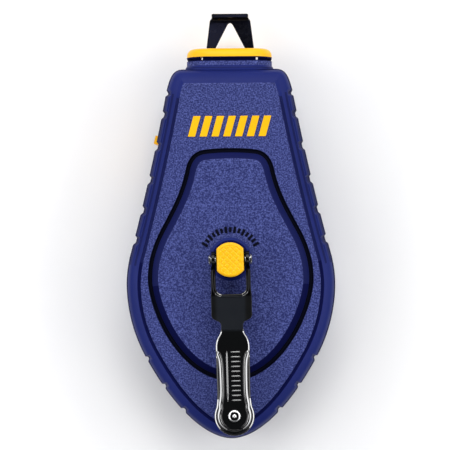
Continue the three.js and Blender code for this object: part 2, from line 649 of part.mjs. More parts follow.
function armOutline() {
  const shape = new THREE.Path();
  shape.moveTo(9.1, -15.1);
  shape.lineTo(-9.1, -15.1);
  shape.lineTo(-9.1, -25.2);
  shape.quadraticCurveTo(-9.1, -26.2, -8.2, -26.6);
  shape.lineTo(-5.6, -27.7);
  shape.quadraticCurveTo(-4.93, -28.2, -4.93, -29.2);
  shape.quadraticCurveTo(-4.93, -32.2, -6.2, -34);
  shape.quadraticCurveTo(-7.6, -36.2, -7.6, -39);
  shape.lineTo(-7.4, -58.7);
  shape.quadraticCurveTo(-7.4, -62, -8.0, -65.8);
  const reach = THREE.MathUtils.degToRad(26);
  shape.absarc(0, ARM.endY, ARM.endR, Math.PI - reach, 2 * Math.PI + reach, false);
  shape.quadraticCurveTo(7.4, -62, 7.4, -58.7);
  shape.lineTo(7.6, -39);
  shape.quadraticCurveTo(7.6, -36.2, 6.2, -34);
  shape.quadraticCurveTo(4.93, -32.2, 4.93, -29.2);
  shape.quadraticCurveTo(4.93, -28.2, 5.6, -27.7);
  shape.lineTo(8.2, -26.6);
  shape.quadraticCurveTo(9.1, -26.2, 9.1, -25.2);
  return distinct(shape.getPoints(3));
}

function crankArm() {
  const outline = armOutline();
  const sheet = prism(outline, ARM.low, ARM.high);
  const paddle = outline.filter((p) => p.y < ARM.beadFrom);
  const bead = cut(
    prism(paddle, ARM.high - 0.2, ARM.high + ARM.bead),
    prism(inset(paddle, ARM.beadWidth), ARM.high, ARM.high + 2 * ARM.bead),
  );
  const cheeks = [-1, 1].map((side) => {
    const [a, b] = [Math.min(side * EAR.inner, side * EAR.outer), Math.max(side * EAR.inner, side * EAR.outer)];
    const ear = cylinderX(EAR.r, a, b, 0, HINGE_Z, 20);
    const bar = box(a, b, EAR.from, EAR.to, EAR.low, ARM.high);
    return ear.add(bar).subtract(cylinderX(HINGE.hole, a - 1, b + 1, 0, HINGE_Z, 12));
  });
  return join(sheet, bead, ...cheeks).subtract(cylinder(ARM.rivetHole, 0, FAR, 0, ARM.endY, 14));
}

function knob() {
  const solid = turned([
    [KNOB.bore, KNOB.recessTop], [KNOB.recess, KNOB.recessTop], [KNOB.recess, KNOB.low], [KNOB.r - 1, KNOB.low],
    [KNOB.r, KNOB.low + 1.2], [KNOB.r, KNOB.high - 1.3], [KNOB.r - 0.8, KNOB.high], [KNOB.bore, KNOB.high],
  ], 24);
  return placed(solid, 0, ARM.endY, 0);
}

function knobRivet() {
  const solid = turned([
    [0, RIVET.footLow], [RIVET.foot, RIVET.footLow], [RIVET.foot, KNOB.recessTop - 0.4], [RIVET.r, KNOB.recessTop - 0.4],
    [RIVET.r, RIVET.headLow], [RIVET.head, RIVET.headLow], [RIVET.head - 0.2, RIVET.high], [0, RIVET.high],
  ], 16);
  return placed(solid, 0, ARM.endY, 0);
}

function releaseButton() {
  const cap = turned([
    [0, BUTTON.low], [BUTTON.r, BUTTON.low], [BUTTON.r, BUTTON.high - BUTTON.edge], [BUTTON.r - BUTTON.edge, BUTTON.high],
    [0, BUTTON.high],
  ], 28);
  const flats = box(-BUTTON.halfFlat, BUTTON.halfFlat, -FAR, FAR, 0, FAR);
  return cap.intersect(flats).subtract(cylinder(STEM.r + GAP, 0, STEM.high + GAP, 0, 0, 14));
}

function buttonSpring() {
  class Helix extends THREE.Curve {
    getPoint(t, target = new THREE.Vector3()) {
      const a = 2 * Math.PI * SPRING.turns * t;
      return target.set(SPRING.r * Math.cos(a), SPRING.r * Math.sin(a), SPRING.low + SPRING.rise * t);
    }
  }
  const wire = new THREE.Shape();
  wire.absarc(0, 0, SPRING.wire, 0, 2 * Math.PI);
  return toSolid(new THREE.ExtrudeGeometry(wire, { steps: 44, extrudePath: new Helix(), curveSegments: 3 }));
}

// ---------------------------------------------------------------- fill door, screws
function fillDoor() {
  const low = DOOR.top - DOOR.length;
  const plate = trackBox(DOOR.from, DOOR.to, low, DOOR.top, DOOR.halfZ);
  const step = trackBox(DOOR.face, DOOR.from + 0.3, low, DOOR.top, DOOR.halfWindow);
  const thumb = trackBox(THUMB.from, DOOR.face + 0.3, THUMB.low, THUMB.high, THUMB.halfZ);
  return join(plate, step, thumb);
}

function doorSeal() {
  return cut(
    portBox(PORT_SEAL.from, PORT_SEAL.to, PORT_SEAL.outer),
    portBox(PORT_SEAL.from - 1, PORT_SEAL.to + 1, PORT_SEAL.inner),
  );
}

function caseScrew(x, y) {
  const body = turned([
    [0, SCREW.low], [SCREW.head - 0.4, SCREW.low], [SCREW.head, SCREW.low + 0.6], [SCREW.head, SCREW.under],
    [SCREW.shank, SCREW.under], [SCREW.shank, SCREW.high - 0.8], [SCREW.shank - 0.6, SCREW.high], [0, SCREW.high],
  ], 10);
  const [half, reach] = [SCREW.slotHalf, SCREW.slotReach];
  const slot = join(box(-reach, reach, -half, half, 0, SCREW.slot), box(-half, half, -reach, reach, 0, SCREW.slot));
  return placed(body.subtract(slot), x, y, 0);
}

// ---------------------------------------------------------------- assembly
function paint(color, roughness, metalness) {
  return new THREE.MeshStandardMaterial({ color, roughness, metalness });
}

const PAINT = {
  caseBlue: () => paint(0x46508c, 0.6, 0),
  yellow: () => paint(0xffcd1e, 0.45, 0),
  blackSteel: () => paint(0x0f0f19, 0.35, 0.7),
  darkMetal: () => paint(0x222629, 0.4, 0.6),
  blackPlastic: () => paint(0x18191c, 0.5, 0),
  greyPlastic: () => paint(0x6c7078, 0.5, 0),
  steel: () => paint(0xb4b8bd, 0.3, 0.9),
  brass: () => paint(0xc29a4a, 0.35, 0.9),
  rubber: () => paint(0x202022, 0.85, 0),
  felt: () => paint(0xd8d4c8, 0.95, 0),
  line: () => paint(0x5b74c8, 0.9, 0),
};

function piece(name, solid, material) {
  const mesh = new THREE.Mesh(toGeometry(solid), material);
  mesh.name = name;
  return mesh;
}

function buildCase() {
  const group = new THREE.Group();
  group.add(
    piece('front_shell', frontShell(), PAINT.caseBlue()),
    piece('rear_shell', rearShell(), PAINT.caseBlue()),
    piece('nose_collar', noseCollar(), PAINT.yellow()),
    piece('felt_pad_front', feltPad(1), PAINT.felt()),
    piece('felt_pad_rear', feltPad(-1), PAINT.felt()),
    piece('line_guide', lineGuide(), PAINT.steel()),
    piece('spool_axle', cylinder(AXLE.r, AXLE.low, AXLE.high, 0, 0, 24), PAINT.steel()),
    piece('spool_washer', ring(WASHER.inner, WASHER.outer, WASHER.low, WASHER.high), PAINT.brass()),
    piece('ring_gear', ringGear(), PAINT.greyPlastic()),
    piece('front_bushing', frontBushing(), PAINT.brass()),
    piece('shaft_seal', shaftSeal(), PAINT.felt()),
    piece('fill_door_seal', doorSeal(), PAINT.rubber()),
  );
  SCREWS.forEach(([x, y], i) => group.add(piece(`case_screw_${i + 1}`, caseScrew(x, y), PAINT.steel())));
  return group;
}

function buildSpool() {
  const group = new THREE.Group();
  group.add(
    piece('spool', spool(), PAINT.greyPlastic()),
    piece('line_winding', winding(), PAINT.line()),
    piece('sun_gear', sunGear(), PAINT.greyPlastic()),
  );
  return group;
}

function buildCrank() {
  const group = new THREE.Group();
  group.add(
    piece('crank_hub', atRest(crankHub()), PAINT.darkMetal()),
    piece('shaft_clip', shaftClip(), PAINT.steel()),
    piece('planet_carrier', planetCarrier(), PAINT.greyPlastic()),
    piece('hinge_pin_right', atRest(hingePin(1)), PAINT.blackSteel()),
    piece('hinge_pin_left', atRest(hingePin(-1)), PAINT.blackSteel()),
    piece('crank_arm', atRest(crankArm()), PAINT.darkMetal()),
    piece('crank_knob', atRest(knob()), PAINT.blackPlastic()),
    piece('knob_rivet', atRest(knobRivet()), PAINT.steel()),
    piece('release_button', atRest(releaseButton()), PAINT.yellow()),
    piece('release_stem', cylinder(STEM.r, STEM.low, STEM.high, 0, 0, 16), PAINT.steel()),
    piece('clutch_plate', clutchPlate(), PAINT.steel()),
    piece('button_spring', buttonSpring(), PAINT.steel()),
  );
  PLANET_ANGLES.forEach((angle, i) => {
    group.add(piece(`planet_gear_${i + 1}`, planetGear(angle), PAINT.greyPlastic()));
    group.add(piece(`planet_pin_${i + 1}`, planetPin(angle), PAINT.steel()));
  });
  return group;
}

function buildLine() {
  const group = new THREE.Group();
  group.add(
    piece('line_hook', lineHook(), PAINT.blackSteel()),
    piece('chalk_line', lineRun(), PAINT.line()),
    piece('fill_door', fillDoor(), PAINT.yellow()),
  );
  return group;
}

const reel = new THREE.Group();
reel.add(buildCase(), buildSpool(), buildCrank(), buildLine());

export default reel;
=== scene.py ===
import json
import math

import bmesh
import bpy
import numpy as np
from mathutils import Matrix, Vector


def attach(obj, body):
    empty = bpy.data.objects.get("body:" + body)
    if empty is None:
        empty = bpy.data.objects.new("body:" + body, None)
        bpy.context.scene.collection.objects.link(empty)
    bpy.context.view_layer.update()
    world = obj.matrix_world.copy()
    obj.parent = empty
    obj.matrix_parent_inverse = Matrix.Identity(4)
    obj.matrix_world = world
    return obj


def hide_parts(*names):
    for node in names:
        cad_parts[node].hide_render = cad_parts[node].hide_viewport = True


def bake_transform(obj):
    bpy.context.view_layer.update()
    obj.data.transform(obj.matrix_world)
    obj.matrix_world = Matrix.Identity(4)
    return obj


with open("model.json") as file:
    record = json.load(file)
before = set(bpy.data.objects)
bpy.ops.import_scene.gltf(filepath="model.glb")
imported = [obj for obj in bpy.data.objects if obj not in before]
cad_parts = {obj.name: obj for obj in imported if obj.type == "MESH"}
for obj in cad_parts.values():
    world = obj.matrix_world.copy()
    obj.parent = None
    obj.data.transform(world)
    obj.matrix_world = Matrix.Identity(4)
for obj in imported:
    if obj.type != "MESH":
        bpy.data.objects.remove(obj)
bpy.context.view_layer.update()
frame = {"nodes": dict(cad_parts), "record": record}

MM = 0.001
BODY = {node: body for body, nodes in frame["record"]["behaviour"]["bodies"].items() for node in nodes}

# ---- driving sizes, in mm
MID = 22.0  # parting plane between the shells
SEAM = 0.15  # from the parting plane to each shell
FACE = 19.5  # case face, out from the parting plane
PANEL = 22.0  # top of the raised panel, out from the parting plane
HINGE_Z = 52.0
PIN_HOLE_R = 1.6
ARM_TOP = 55.2
ARM_END_Y = -69.7
PADDLE_Y = -31.2  # the arm is a fork above this and a paddle below
CRANK_ANGLE = math.radians(1.1)  # the crank rests this far round the spool axis
GRIP_DEPTH = 1.0
NOTCHES = [  # (y on the flank, length along the flank)
    (75.4, 2.3), (65.5, 3.4), (51.2, 3.8), (36.0, 3.9), (22.1, 3.8), (8.6, 3.9),
    (-45.6, 1.9), (-58.1, 1.9), (-69.3, 1.9),
]
SCREWS = [(0, -71), (33, -33), (-33, -33), (22, 69), (-22, 69)]
TRACK_X, TRACK_Y, TRACK_TURN = -32.2, 60.0, math.radians(-13.01)  # the fill door's track

# ---- camera
CAMERA_HEIGHT = 931  # above the parting plane
CAMERA_AIM = (9.3, 15.3)
CAMERA_CENTRE = (-2.65, 15.3)  # what the middle of the picture shows on the parting plane
CAMERA_LENS = 161.4
CAMERA_ROLL = -0.45


def make_camera():
    data = bpy.data.cameras.new("camera")
    data.lens = CAMERA_LENS
    data.clip_start, data.clip_end = 0.01, 20
    data.shift_x = (CAMERA_CENTRE[0] - CAMERA_AIM[0]) / CAMERA_HEIGHT * CAMERA_LENS / data.sensor_width
    camera = bpy.data.objects.new("camera", data)
    bpy.context.scene.collection.objects.link(camera)
    camera.location = (CAMERA_AIM[0] * MM, CAMERA_AIM[1] * MM, (MID + CAMERA_HEIGHT) * MM)
    camera.rotation_euler = (0, 0, math.radians(CAMERA_ROLL))
    bpy.context.scene.camera = camera


make_camera()


# ---- materials
def srgb(*channels):
    """A display colour, each channel up to 255, in linear light."""
    return tuple(((c / 255 + 0.055) / 1.055) ** 2.4 if c > 10 else c / 255 / 12.92 for c in channels)


def scaled(colour, share):
    return tuple(c * share for c in colour)


MATERIALS = {}


def feed(tree, value, socket):
    """Sets the socket to a number or a colour, or links it to another node."""
    if isinstance(value, tuple):
        socket.default_value = (*value, 1)
    elif isinstance(value, (int, float)):
        socket.default_value = value
    else:
        tree.links.new(value, socket)


def add_node(tree, kind, inputs=None, **settings):
    node = tree.nodes.new(kind)
    for key, value in settings.items():
        setattr(node, key, value)
    for key, value in (inputs or {}).items():
        feed(tree, value, node.inputs[key])
    return node


class Nodes:
    """Short hand for building a material's node tree."""

    def __init__(self, name):
        self.name = name
        self.material = bpy.data.materials.new(name)
        self.material.use_nodes = True
        self.tree = self.material.node_tree
        self.shader = self.tree.nodes["Principled BSDF"]
        self.place = self.add("ShaderNodeTexCoord").outputs["Object"]

    def add(self, kind, inputs=None, **settings):
        return add_node(self.tree, kind, inputs, **settings)

    def maths(self, operation, *values):
        return self.add("ShaderNodeMath", dict(enumerate(values)), operation=operation).outputs[0]

    def noise(self, size_mm, detail=2.0, rough=0.5):
        inputs = {"Vector": self.place, "Scale": 1000 / size_mm, "Detail": detail, "Roughness": rough}
        return self.add("ShaderNodeTexNoise", inputs).outputs["Fac"]

    def spread(self, value, low, high, out_low, out_high):
        inputs = {"Value": value, "From Min": low, "From Max": high, "To Min": out_low, "To Max": out_high}
        return self.add("ShaderNodeMapRange", inputs).outputs["Result"]

    def drift(self, size_mm, low, high, detail=2.0):
        """A value that wanders between low and high over that distance."""
        return self.spread(self.noise(size_mm, detail), 0.3, 0.7, low, high)

    def mix(self, factor, first, second):
        node = self.add("ShaderNodeMix", {"Factor": factor, 6: first, 7: second}, data_type="RGBA")
        return node.outputs[2]

    def mottled(self, size_mm, colour, less, more, detail=2.0):
        """The colour, wandering between those shares of its brightness."""
        return self.mix(self.drift(size_mm, 0, 1, detail), scaled(colour, less), scaled(colour, more))

    def bump(self, height, distance_mm, **under):
        """Height as relief, over the relief given as Normal."""
        inputs = {"Height": height, "Distance": distance_mm * MM, **under}
        return self.add("ShaderNodeBump", inputs).outputs["Normal"]

    def worn_edges(self):
        """Near 1 on sharp convex edges, from the mesh's pointiness."""
        geometry = self.add("ShaderNodeNewGeometry")
        return self.spread(geometry.outputs["Pointiness"], 0.52, 0.6, 0, 1)

    def finish(self, colour, roughness, normal, **fixed):
        for key, value in {"Base_Color": colour, "Roughness": roughness, "Normal": normal, **fixed}.items():
            feed(self.tree, value, self.shader.inputs[key.replace("_", " ")])
        MATERIALS[self.name] = self.material


def moulded(name, colour, roughness, grain_mm=0.25, grain_depth=0.012, mottle=0.06, sheen=0.25):
    """Smooth moulded plastic: a faint grain, and a slow drift of colour and gloss."""
    n = Nodes(name)
    tint = n.mottled(22, colour, 1 - mottle, 1 + mottle)
    gloss = n.drift(6, roughness - 0.05, roughness + 0.05, 3)
    n.finish(tint, gloss, n.bump(n.noise(grain_mm), grain_depth), Specular_IOR_Level=sheen)


def spark_textured(name, colour, dark, light):
    """Moulded plastic with the pebbled finish of a spark-eroded tool: painted shade in the pits and painted
    highlights on the crests.
    """
    n = Nodes(name)
    pebbles = n.noise(0.66, 2, 0.6)
    fine = n.noise(0.3, 2, 0.6)
    painted_pebble_light = n.mix(n.spread(pebbles, 0.42, 0.68, 0, 1), dark, light)
    tint = n.mix(0.92, n.mottled(18, colour, 0.92, 1.08), painted_pebble_light)
    normal = n.bump(fine, 0.05, Normal=n.bump(pebbles, 0.16))
    n.finish(tint, n.spread(pebbles, 0.3, 0.7, 0.62, 0.46), normal, Specular_IOR_Level=0.25)


def coated_metal(name, colour, roughness, grain_mm, depth, edge=None, sheen=0.2):
    """Black coated steel: orange-peel paint, which may be rubbed at the edges."""
    n = Nodes(name)
    tint = n.mottled(9, colour, 0.85, 1.15)
    if edge is not None:
        tint = n.mix(n.worn_edges(), tint, edge)
    gloss = n.drift(3.5, roughness - 0.04, roughness + 0.06, 3)
    n.finish(tint, gloss, n.bump(n.noise(grain_mm), depth), Specular_IOR_Level=sheen)


def crank_black():
    """The arm's black coat: glossy on cheeks and paddle, satin and a little lighter on the fold between, with
    painted shade on the fold's sides and over the cheeks.
    """
    n = Nodes("crank_black")
    split = n.add("ShaderNodeSeparateXYZ", {0: n.place})
    x, y = split.outputs["X"], split.outputs["Y"]
    paddle = n.spread(y, -0.0308, -0.0322, 0, 1)
    cheek = n.spread(y, -0.0165, -0.0155, 0, 1)
    side = n.spread(n.maths("ABSOLUTE", x), 0.0058, 0.0072, 0, 1)
    tint = n.mix(paddle, srgb(23, 26, 31), srgb(11, 12, 13))
    # Painted shade on the fold's turned-down sides, and near black over the fork's cheeks.
    tint = n.mix(side, tint, srgb(9, 10, 11))
    tint = n.mix(cheek, tint, srgb(3, 3, 4))
    gloss = n.maths("MINIMUM", n.spread(paddle, 0, 1, 0.3, 0.12), n.spread(cheek, 0, 1, 0.3, 0.1))
    gloss = n.maths("ADD", gloss, n.drift(3.5, -0.02, 0.03, 3))
    coat = n.spread(paddle, 0, 1, 0.1, 0.35)
    look = {"Specular_IOR_Level": 0.2, "Coat_Weight": coat, "Coat_Roughness": 0.06, "Coat_IOR": 1.6}
    n.finish(tint, gloss, n.bump(n.noise(0.6), 0.002), **look)


def crank_edge():
    """The same black where it is rubbed bright, along the arm's edges and raised rails."""
    n = Nodes("crank_edge")
    tint = n.mix(n.drift(5, 0, 1, 3), srgb(7, 8, 9), srgb(13, 14, 15))
    gloss = n.drift(3.5, 0.08, 0.14, 3)
    normal = n.bump(n.noise(0.6), 0.002)
    n.finish(tint, gloss, normal, Coat_Weight=1.0, Coat_Roughness=0.05, Coat_IOR=3.0)


def bare_metal(name, colour, roughness):
    """Metal with fine drawn or turned scratches."""
    n = Nodes(name)
    mapping = n.add("ShaderNodeMapping", {"Vector": n.place})
    mapping.inputs["Scale"].default_value = (1, 1, 14)
    inputs = {"Vector": mapping.outputs["Vector"], "Scale": 1400, "Detail": 3}
    scratch = n.add("ShaderNodeTexNoise", inputs).outputs["Fac"]
    gloss = n.spread(scratch, 0.3, 0.7, roughness - 0.08, roughness + 0.1)
    n.finish(n.mottled(4, colour, 0.85, 1.1, 3), gloss, n.bump(scratch, 0.006), Metallic=1.0)


def fibrous(name, colour, dark, fibre_mm, depth):
    n = Nodes(name)
    fibres = n.noise(fibre_mm, 4, 0.7)
    tint = n.mix(n.spread(fibres, 0.35, 0.65, 0, 1), dark, colour)
    n.finish(tint, 0.92, n.bump(fibres, depth), Sheen_Weight=0.3)


spark_textured("blue_texture", srgb(45, 54, 118), srgb(20, 30, 89), srgb(82, 93, 160))
moulded("blue_smooth", srgb(24, 35, 101), 0.42, 0.35, sheen=0.12)
# Painted deep shade for the groove round the panel and the inner edge of the hub's boss ring; also the ticks'
# own dark navy.
moulded("blue_deep_shade_and_ticks", srgb(3, 5, 24), 0.7, sheen=0.08)
# Painted shade: the flanks' low side, the panel's lower chamfer, the flank valley, vent walls, the gap under
# the collar and the ring by the hub.
moulded("blue_painted_shade", srgb(8, 13, 62), 0.7, sheen=0.05)
# Painted half shade: bands along the grip pads, the upper flank valley, the neck and the panel's upper
# chamfer.
moulded("blue_half_shade", srgb(16, 23, 76), 0.5, 0.35, sheen=0.1)
moulded("yellow", srgb(250, 187, 10), 0.36, 0.3, 0.01, 0.05)
coated_metal("hook_steel", srgb(7, 8, 16), 0.25, 0.35, 0.008, edge=srgb(26, 28, 44), sheen=0.1)
coated_metal("crank_satin", srgb(8, 9, 10), 0.22, 0.4, 0.004)
crank_black()
crank_edge()
bare_metal("bright_steel", (0.86, 0.87, 0.88), 0.22)
moulded("knob_plastic", srgb(24, 24, 26), 0.5, 0.3, 0.02)
moulded("gear_plastic", srgb(104, 109, 118), 0.48)
bare_metal("steel", (0.55, 0.56, 0.58), 0.3)
bare_metal("brass", (0.6, 0.41, 0.16), 0.32)
moulded("rubber", srgb(28, 28, 30), 0.8, 0.3, 0.02)
fibrous("felt", srgb(205, 199, 182), srgb(120, 126, 160), 0.5, 0.12)
fibrous("line", srgb(96, 120, 205), srgb(40, 62, 160), 0.18, 0.06)

# The case plastic, smooth and pebbled, then darker copies of it that carry painted shade.
CASE = ("blue_smooth", "blue_texture", "blue_deep_shade_and_ticks", "blue_painted_shade", "blue_half_shade")
SMOOTH, TEXTURE, DEEP_SHADE, SHADE, HALF_SHADE = range(len(CASE))
ARM = ("crank_black", "crank_edge")
RUBBED = 1


# ---- outlines and paths
def bezier(points, count=160):
    t = np.linspace(0, 1, count + 1)[:, None]
    p = np.array(points, float)
    if len(p) == 3:
        return (1 - t) ** 2 * p[0] + 2 * (1 - t) * t * p[1] + t**2 * p[2]
    return (1 - t) ** 3 * p[0] + 3 * (1 - t) ** 2 * t * p[1] + 3 * (1 - t) * t**2 * p[2] + t**3 * p[3]


def curves(start, *stretches):
    """Joined curves, each from the last one's end through its own points."""
    starts = [start] + [stretch[-1] for stretch in stretches]
    return [bezier([first, *stretch]) for first, stretch in zip(starts, stretches)]


def closed(stretches):
    """A closed anticlockwise outline from stretches down the +X side, mirrored to the -X side."""
    right = np.vstack([s[:-1] for s in stretches[:-1]] + [stretches[-1]])
    left = right * [-1, 1]
    return np.vstack([left[:-1], right[::-1][:-1]])


def distances(path):
    """How far along the path each of its points lies."""
    return np.concatenate([[0], np.cumsum(np.linalg.norm(np.diff(path, axis=0), axis=1))])


def sampled(path, count, endpoint=True):
    """That many points, evenly spaced along the path."""
    run = distances(path)
    at = np.linspace(0, run[-1], count, endpoint=endpoint)
    return np.column_stack([np.interp(at, run, column) for column in path.T])


def even(outline, count):
    """The same closed outline with that many evenly spaced points."""
    return sampled(np.vstack([outline, outline[:1]]), count, False)


def eased(path, times):
    """The path with its corners rounded."""
    for _ in range(times):
        path[1:-1] = (path[:-2] + path[1:-1] * 2 + path[2:]) / 4
    return path


def unit(vectors):
    return vectors / np.linalg.norm(vectors, axis=1)[:, None]


def rightward(path):
    """Unit vectors square to a flat path, to its right."""
    along = unit(np.gradient(path, axis=0))
    return np.column_stack([along[:, 1], -along[:, 0]])


def square_to(route):
    """Two unit vectors square to a route in space and to each other, at each of its points."""
    along = unit(np.gradient(route, axis=0))
    side = unit(np.cross(along, [0, 0, 1.0]))
    return side, np.cross(side, along)


def inward(outline):
    along = unit(np.roll(outline, -1, 0) - np.roll(outline, 1, 0))
    return np.column_stack([-along[:, 1], along[:, 0]])


def inset(outline, depth):
    """Moves a closed outline inward. Where a deep inset would cross itself, it is drawn straight across."""
    moved_in = outline + inward(outline) * np.reshape(depth, (-1, 1))
    limit = float(np.min(depth))
    if limit <= 1.5:
        return moved_in
    gap = np.linalg.norm(moved_in[:, None, :] - outline[None, :, :], axis=2).min(1)
    good = np.flatnonzero(gap > limit - 0.03)
    count = len(outline)
    wrapped = np.concatenate([good - count, good, good + count])
    return np.column_stack([
        np.interp(range(count), wrapped, np.tile(column[good], 3)) for column in moved_in.T
    ])


def case_outline(count):
    return even(closed(curves(
        (0, 86.6),
        [(10, 86.6), (21, 86.6)],
        [(26, 86.6), (27.2, 83), (28.8, 77)],
        [(33.5, 52), (39.45, 26), (46.2, 1)],
        [(47.1, -3), (47.7, -7), (47.7, -11.5)],
        [(47.7, -22.5), (44.8, -34), (39.7, -43.7)],
        [(26.65, -68.5), (11.5, -82), (0, -82)],
    )), count)


def panel_outline(count):
    return even(closed(curves(
        (0, 49),
        [(6, 49), (11, 48.4)],
        [(15.3, 47.9), (17.3, 45.5), (18.6, 41.5)],
        [(20.7, 31.5), (23.5, 25.6), (29.7, 14.3)],
        [(33.6, 7.2), (36.2, 0), (36.3, -8)],
        [(36.8, -22.5), (22.2, -54), (0, -54)],
    )), count)


def around(radius, degrees, x=0, y=0):
    """Points on a circle at those angles."""
    a = np.radians(degrees)
    return np.column_stack([x + radius * np.cos(a), y + radius * np.sin(a)])


def rounded_rectangle(half_x, half_y, corner, count=24):
    """Anticlockwise from the +X side's top."""
    x, y, quarter = half_x - corner, half_y - corner, np.linspace(0, 90, count + 1)
    return np.vstack([
        around(corner, start + quarter, sx * x, sy * y)
        for sx, sy, start in ((1, 1, 0), (-1, 1, 90), (-1, -1, 180), (1, -1, 270))
    ])


def at_height(points, z):
    return np.column_stack([points, np.broadcast_to(z, len(points))])


def smoothstep(value, low, high):
    t = np.clip((value - low) / (high - low), 0, 1)
    return t * t * (3 - 2 * t)


# ---- solids
def make_object(name, vertices, faces, materials, face_material=None):
    mesh = bpy.data.meshes.new(name)
    mesh.from_pydata((np.array(vertices, float) * MM).tolist(), [], faces)
    for key in materials:
        mesh.materials.append(MATERIALS[key])
    if face_material is not None:
        mesh.polygons.foreach_set("material_index", face_material)
    point_outward(mesh)
    return placed(name, mesh)


def placed(name, mesh):
    obj = bpy.data.objects.new(name, mesh)
    bpy.context.scene.collection.objects.link(obj)
    return obj


def point_outward(mesh):
    """Faces point out of the closed body."""
    bm = bmesh.new()
    bm.from_mesh(mesh)
    bmesh.ops.recalc_face_normals(bm, faces=bm.faces)
    if bm.calc_volume(signed=True) < 0:
        bmesh.ops.reverse_faces(bm, faces=bm.faces)
    bm.to_mesh(mesh)
    bm.free()


def ring_faces(count, start, next_start):
    """Quads between two rings of points, given each ring's first index."""
    here = np.arange(count)
    after = (here + 1) % count
    return np.column_stack([start + here, start + after, next_start + after, next_start + here]).tolist()


def loft(name, rings, materials=CASE, face_material=None, end_material=(0, 0)):
    """A closed body through rings of points. face_material(k) is the material from ring k to the next."""
    count = len(rings[0])
    faces, kinds = [], []
    for k in range(len(rings) - 1):
        faces += ring_faces(count, k * count, (k + 1) * count)
        kinds += np.broadcast_to(face_material(k) if face_material else 0, count).tolist()
    last = (len(rings) - 1) * count
    faces += [list(range(count - 1, -1, -1)), list(range(last, last + count))]
    kinds += list(end_material)
    return make_object(name, np.vstack(rings), faces, materials, kinds)


def turned(name, profile, materials=CASE, count=96, kinds=None):
    """A turned body about Z. profile holds (radius, z) from the axis to the axis, or closes on itself."""
    on_axis = profile[0][0] < 1e-6 and profile[-1][0] < 1e-6
    body = profile[1:-1] if on_axis else profile
    steps = len(body) - 1 if on_axis else len(body)
    kinds = kinds or [0] * steps
    circle = around(1, np.linspace(0, 360, count, endpoint=False))
    rings = [at_height(r * circle, z) for r, z in body]
    faces, face_kinds = [], []
    for k in range(steps):
        faces += ring_faces(count, k * count, (k + 1) % len(body) * count)
        face_kinds += [kinds[k]] * count
    if on_axis:
        last = (len(body) - 1) * count
        faces += [list(range(count)), list(range(last + count - 1, last - 1, -1))]
        face_kinds += [kinds[0], kinds[-1]]
    return make_object(name, np.vstack(rings), faces, materials, face_kinds)


def prism(name, outline, z0, z1, materials=CASE, kind=0):
    rings = [at_height(outline, z) for z in sorted((z0, z1))]
    return loft(name, rings, materials, lambda k: kind, (kind, kind))


def block(name, x0, x1, y0, y1, z0, z1, materials=CASE, kind=0):
    x0, x1 = sorted((x0, x1))
    return prism(name, np.array([(x0, y0), (x1, y0), (x1, y1), (x0, y1)], float), z0, z1, materials, kind)


def disc(name, r, z0, z1, x=0, y=0, materials=CASE, count=64):
    return prism(name, around(r, np.linspace(0, 360, count, endpoint=False), x, y), z0, z1, materials)


def transform(obj, matrix):
    obj.data.transform(matrix)
    return obj


def moved(obj, x=0, y=0, z=0):
    return transform(obj, Matrix.Translation(Vector((x, y, z)) * MM))


def about_x(obj, z):
    """Lays a body made about Z along X at height z, with its top towards +X."""
    return transform(obj, Matrix.Translation((0, 0, z * MM)) @ Matrix.Rotation(math.pi / 2, 4, "Y"))


def about_y(obj, y):
    """Lays a body made about Z along Y on the parting plane, with its top towards +Y."""
    return transform(obj, Matrix.Translation((0, y * MM, MID * MM)) @ Matrix.Rotation(-math.pi / 2, 4, "X"))


def evaluated(obj):
    """Makes the modifiers part of the mesh."""
    bpy.context.view_layer.update()
    mesh = bpy.data.meshes.new_from_object(obj.evaluated_get(bpy.context.evaluated_depsgraph_get()))
    obj.modifiers.clear()
    obj.data = mesh
    return obj


def combine(base, others, operation):
    """Joins, cuts or intersects base with the others, which are used up."""
    for other in others:
        modifier = base.modifiers.new("boolean", "BOOLEAN")
        modifier.operation = operation
        modifier.object = other
        modifier.solver = "MANIFOLD"
    evaluated(base)
    for other in others:
        bpy.data.objects.remove(other)
    return base


def join(base, *others):
    return combine(base, others, "UNION")


def cut(base, *others):
    return combine(base, others, "DIFFERENCE")


def merge(name, objects):
    """One mesh from several, without joining their surfaces."""
    mesh = bpy.data.meshes.new(name)
    bm = bmesh.new()
    for obj in objects:
        bm.from_mesh(obj.data)
    bm.to_mesh(mesh)
    bm.free()
    for material in objects[0].data.materials:
        mesh.materials.append(material)
    for obj in objects:
        bpy.data.objects.remove(obj)
    return placed(name, mesh)


def shade(obj, crisp):
    """Smooth, with edges sharper than that many degrees kept crisp, and flat faces kept flat."""
    bm = bmesh.new()
    bm.from_mesh(obj.data)
    bmesh.ops.dissolve_degenerate(bm, dist=1e-7, edges=bm.edges)
    for face in bm.faces:
        face.smooth = True
    limit = math.radians(crisp)
    for edge in bm.edges:
        edge.smooth = len(edge.link_faces) == 2 and edge.calc_face_angle(0) < limit
    bm.to_mesh(obj.data)
    bm.free()
    weighted = obj.modifiers.new("weighted", "WEIGHTED_NORMAL")
    weighted.keep_sharp = True


def bevelled(obj, width, segments=2, angle=35):
    modifier = obj.modifiers.new("bevel", "BEVEL")
    modifier.width = width * MM
    modifier.segments = segments
    modifier.limit_method = "ANGLE"
    modifier.angle_limit = math.radians(angle)
    modifier.use_clamp_overlap = True
    return obj


def add_on(obj, body, crisp=32):
    """The piece rides on the body and stands for no CAD node."""
    shade(obj, crisp)
    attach(obj, body)


def settle(obj, node, crisp=32):
    """The piece stands for that CAD node, and rides on its body."""
    add_on(obj, BODY[node], crisp)
    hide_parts(node)


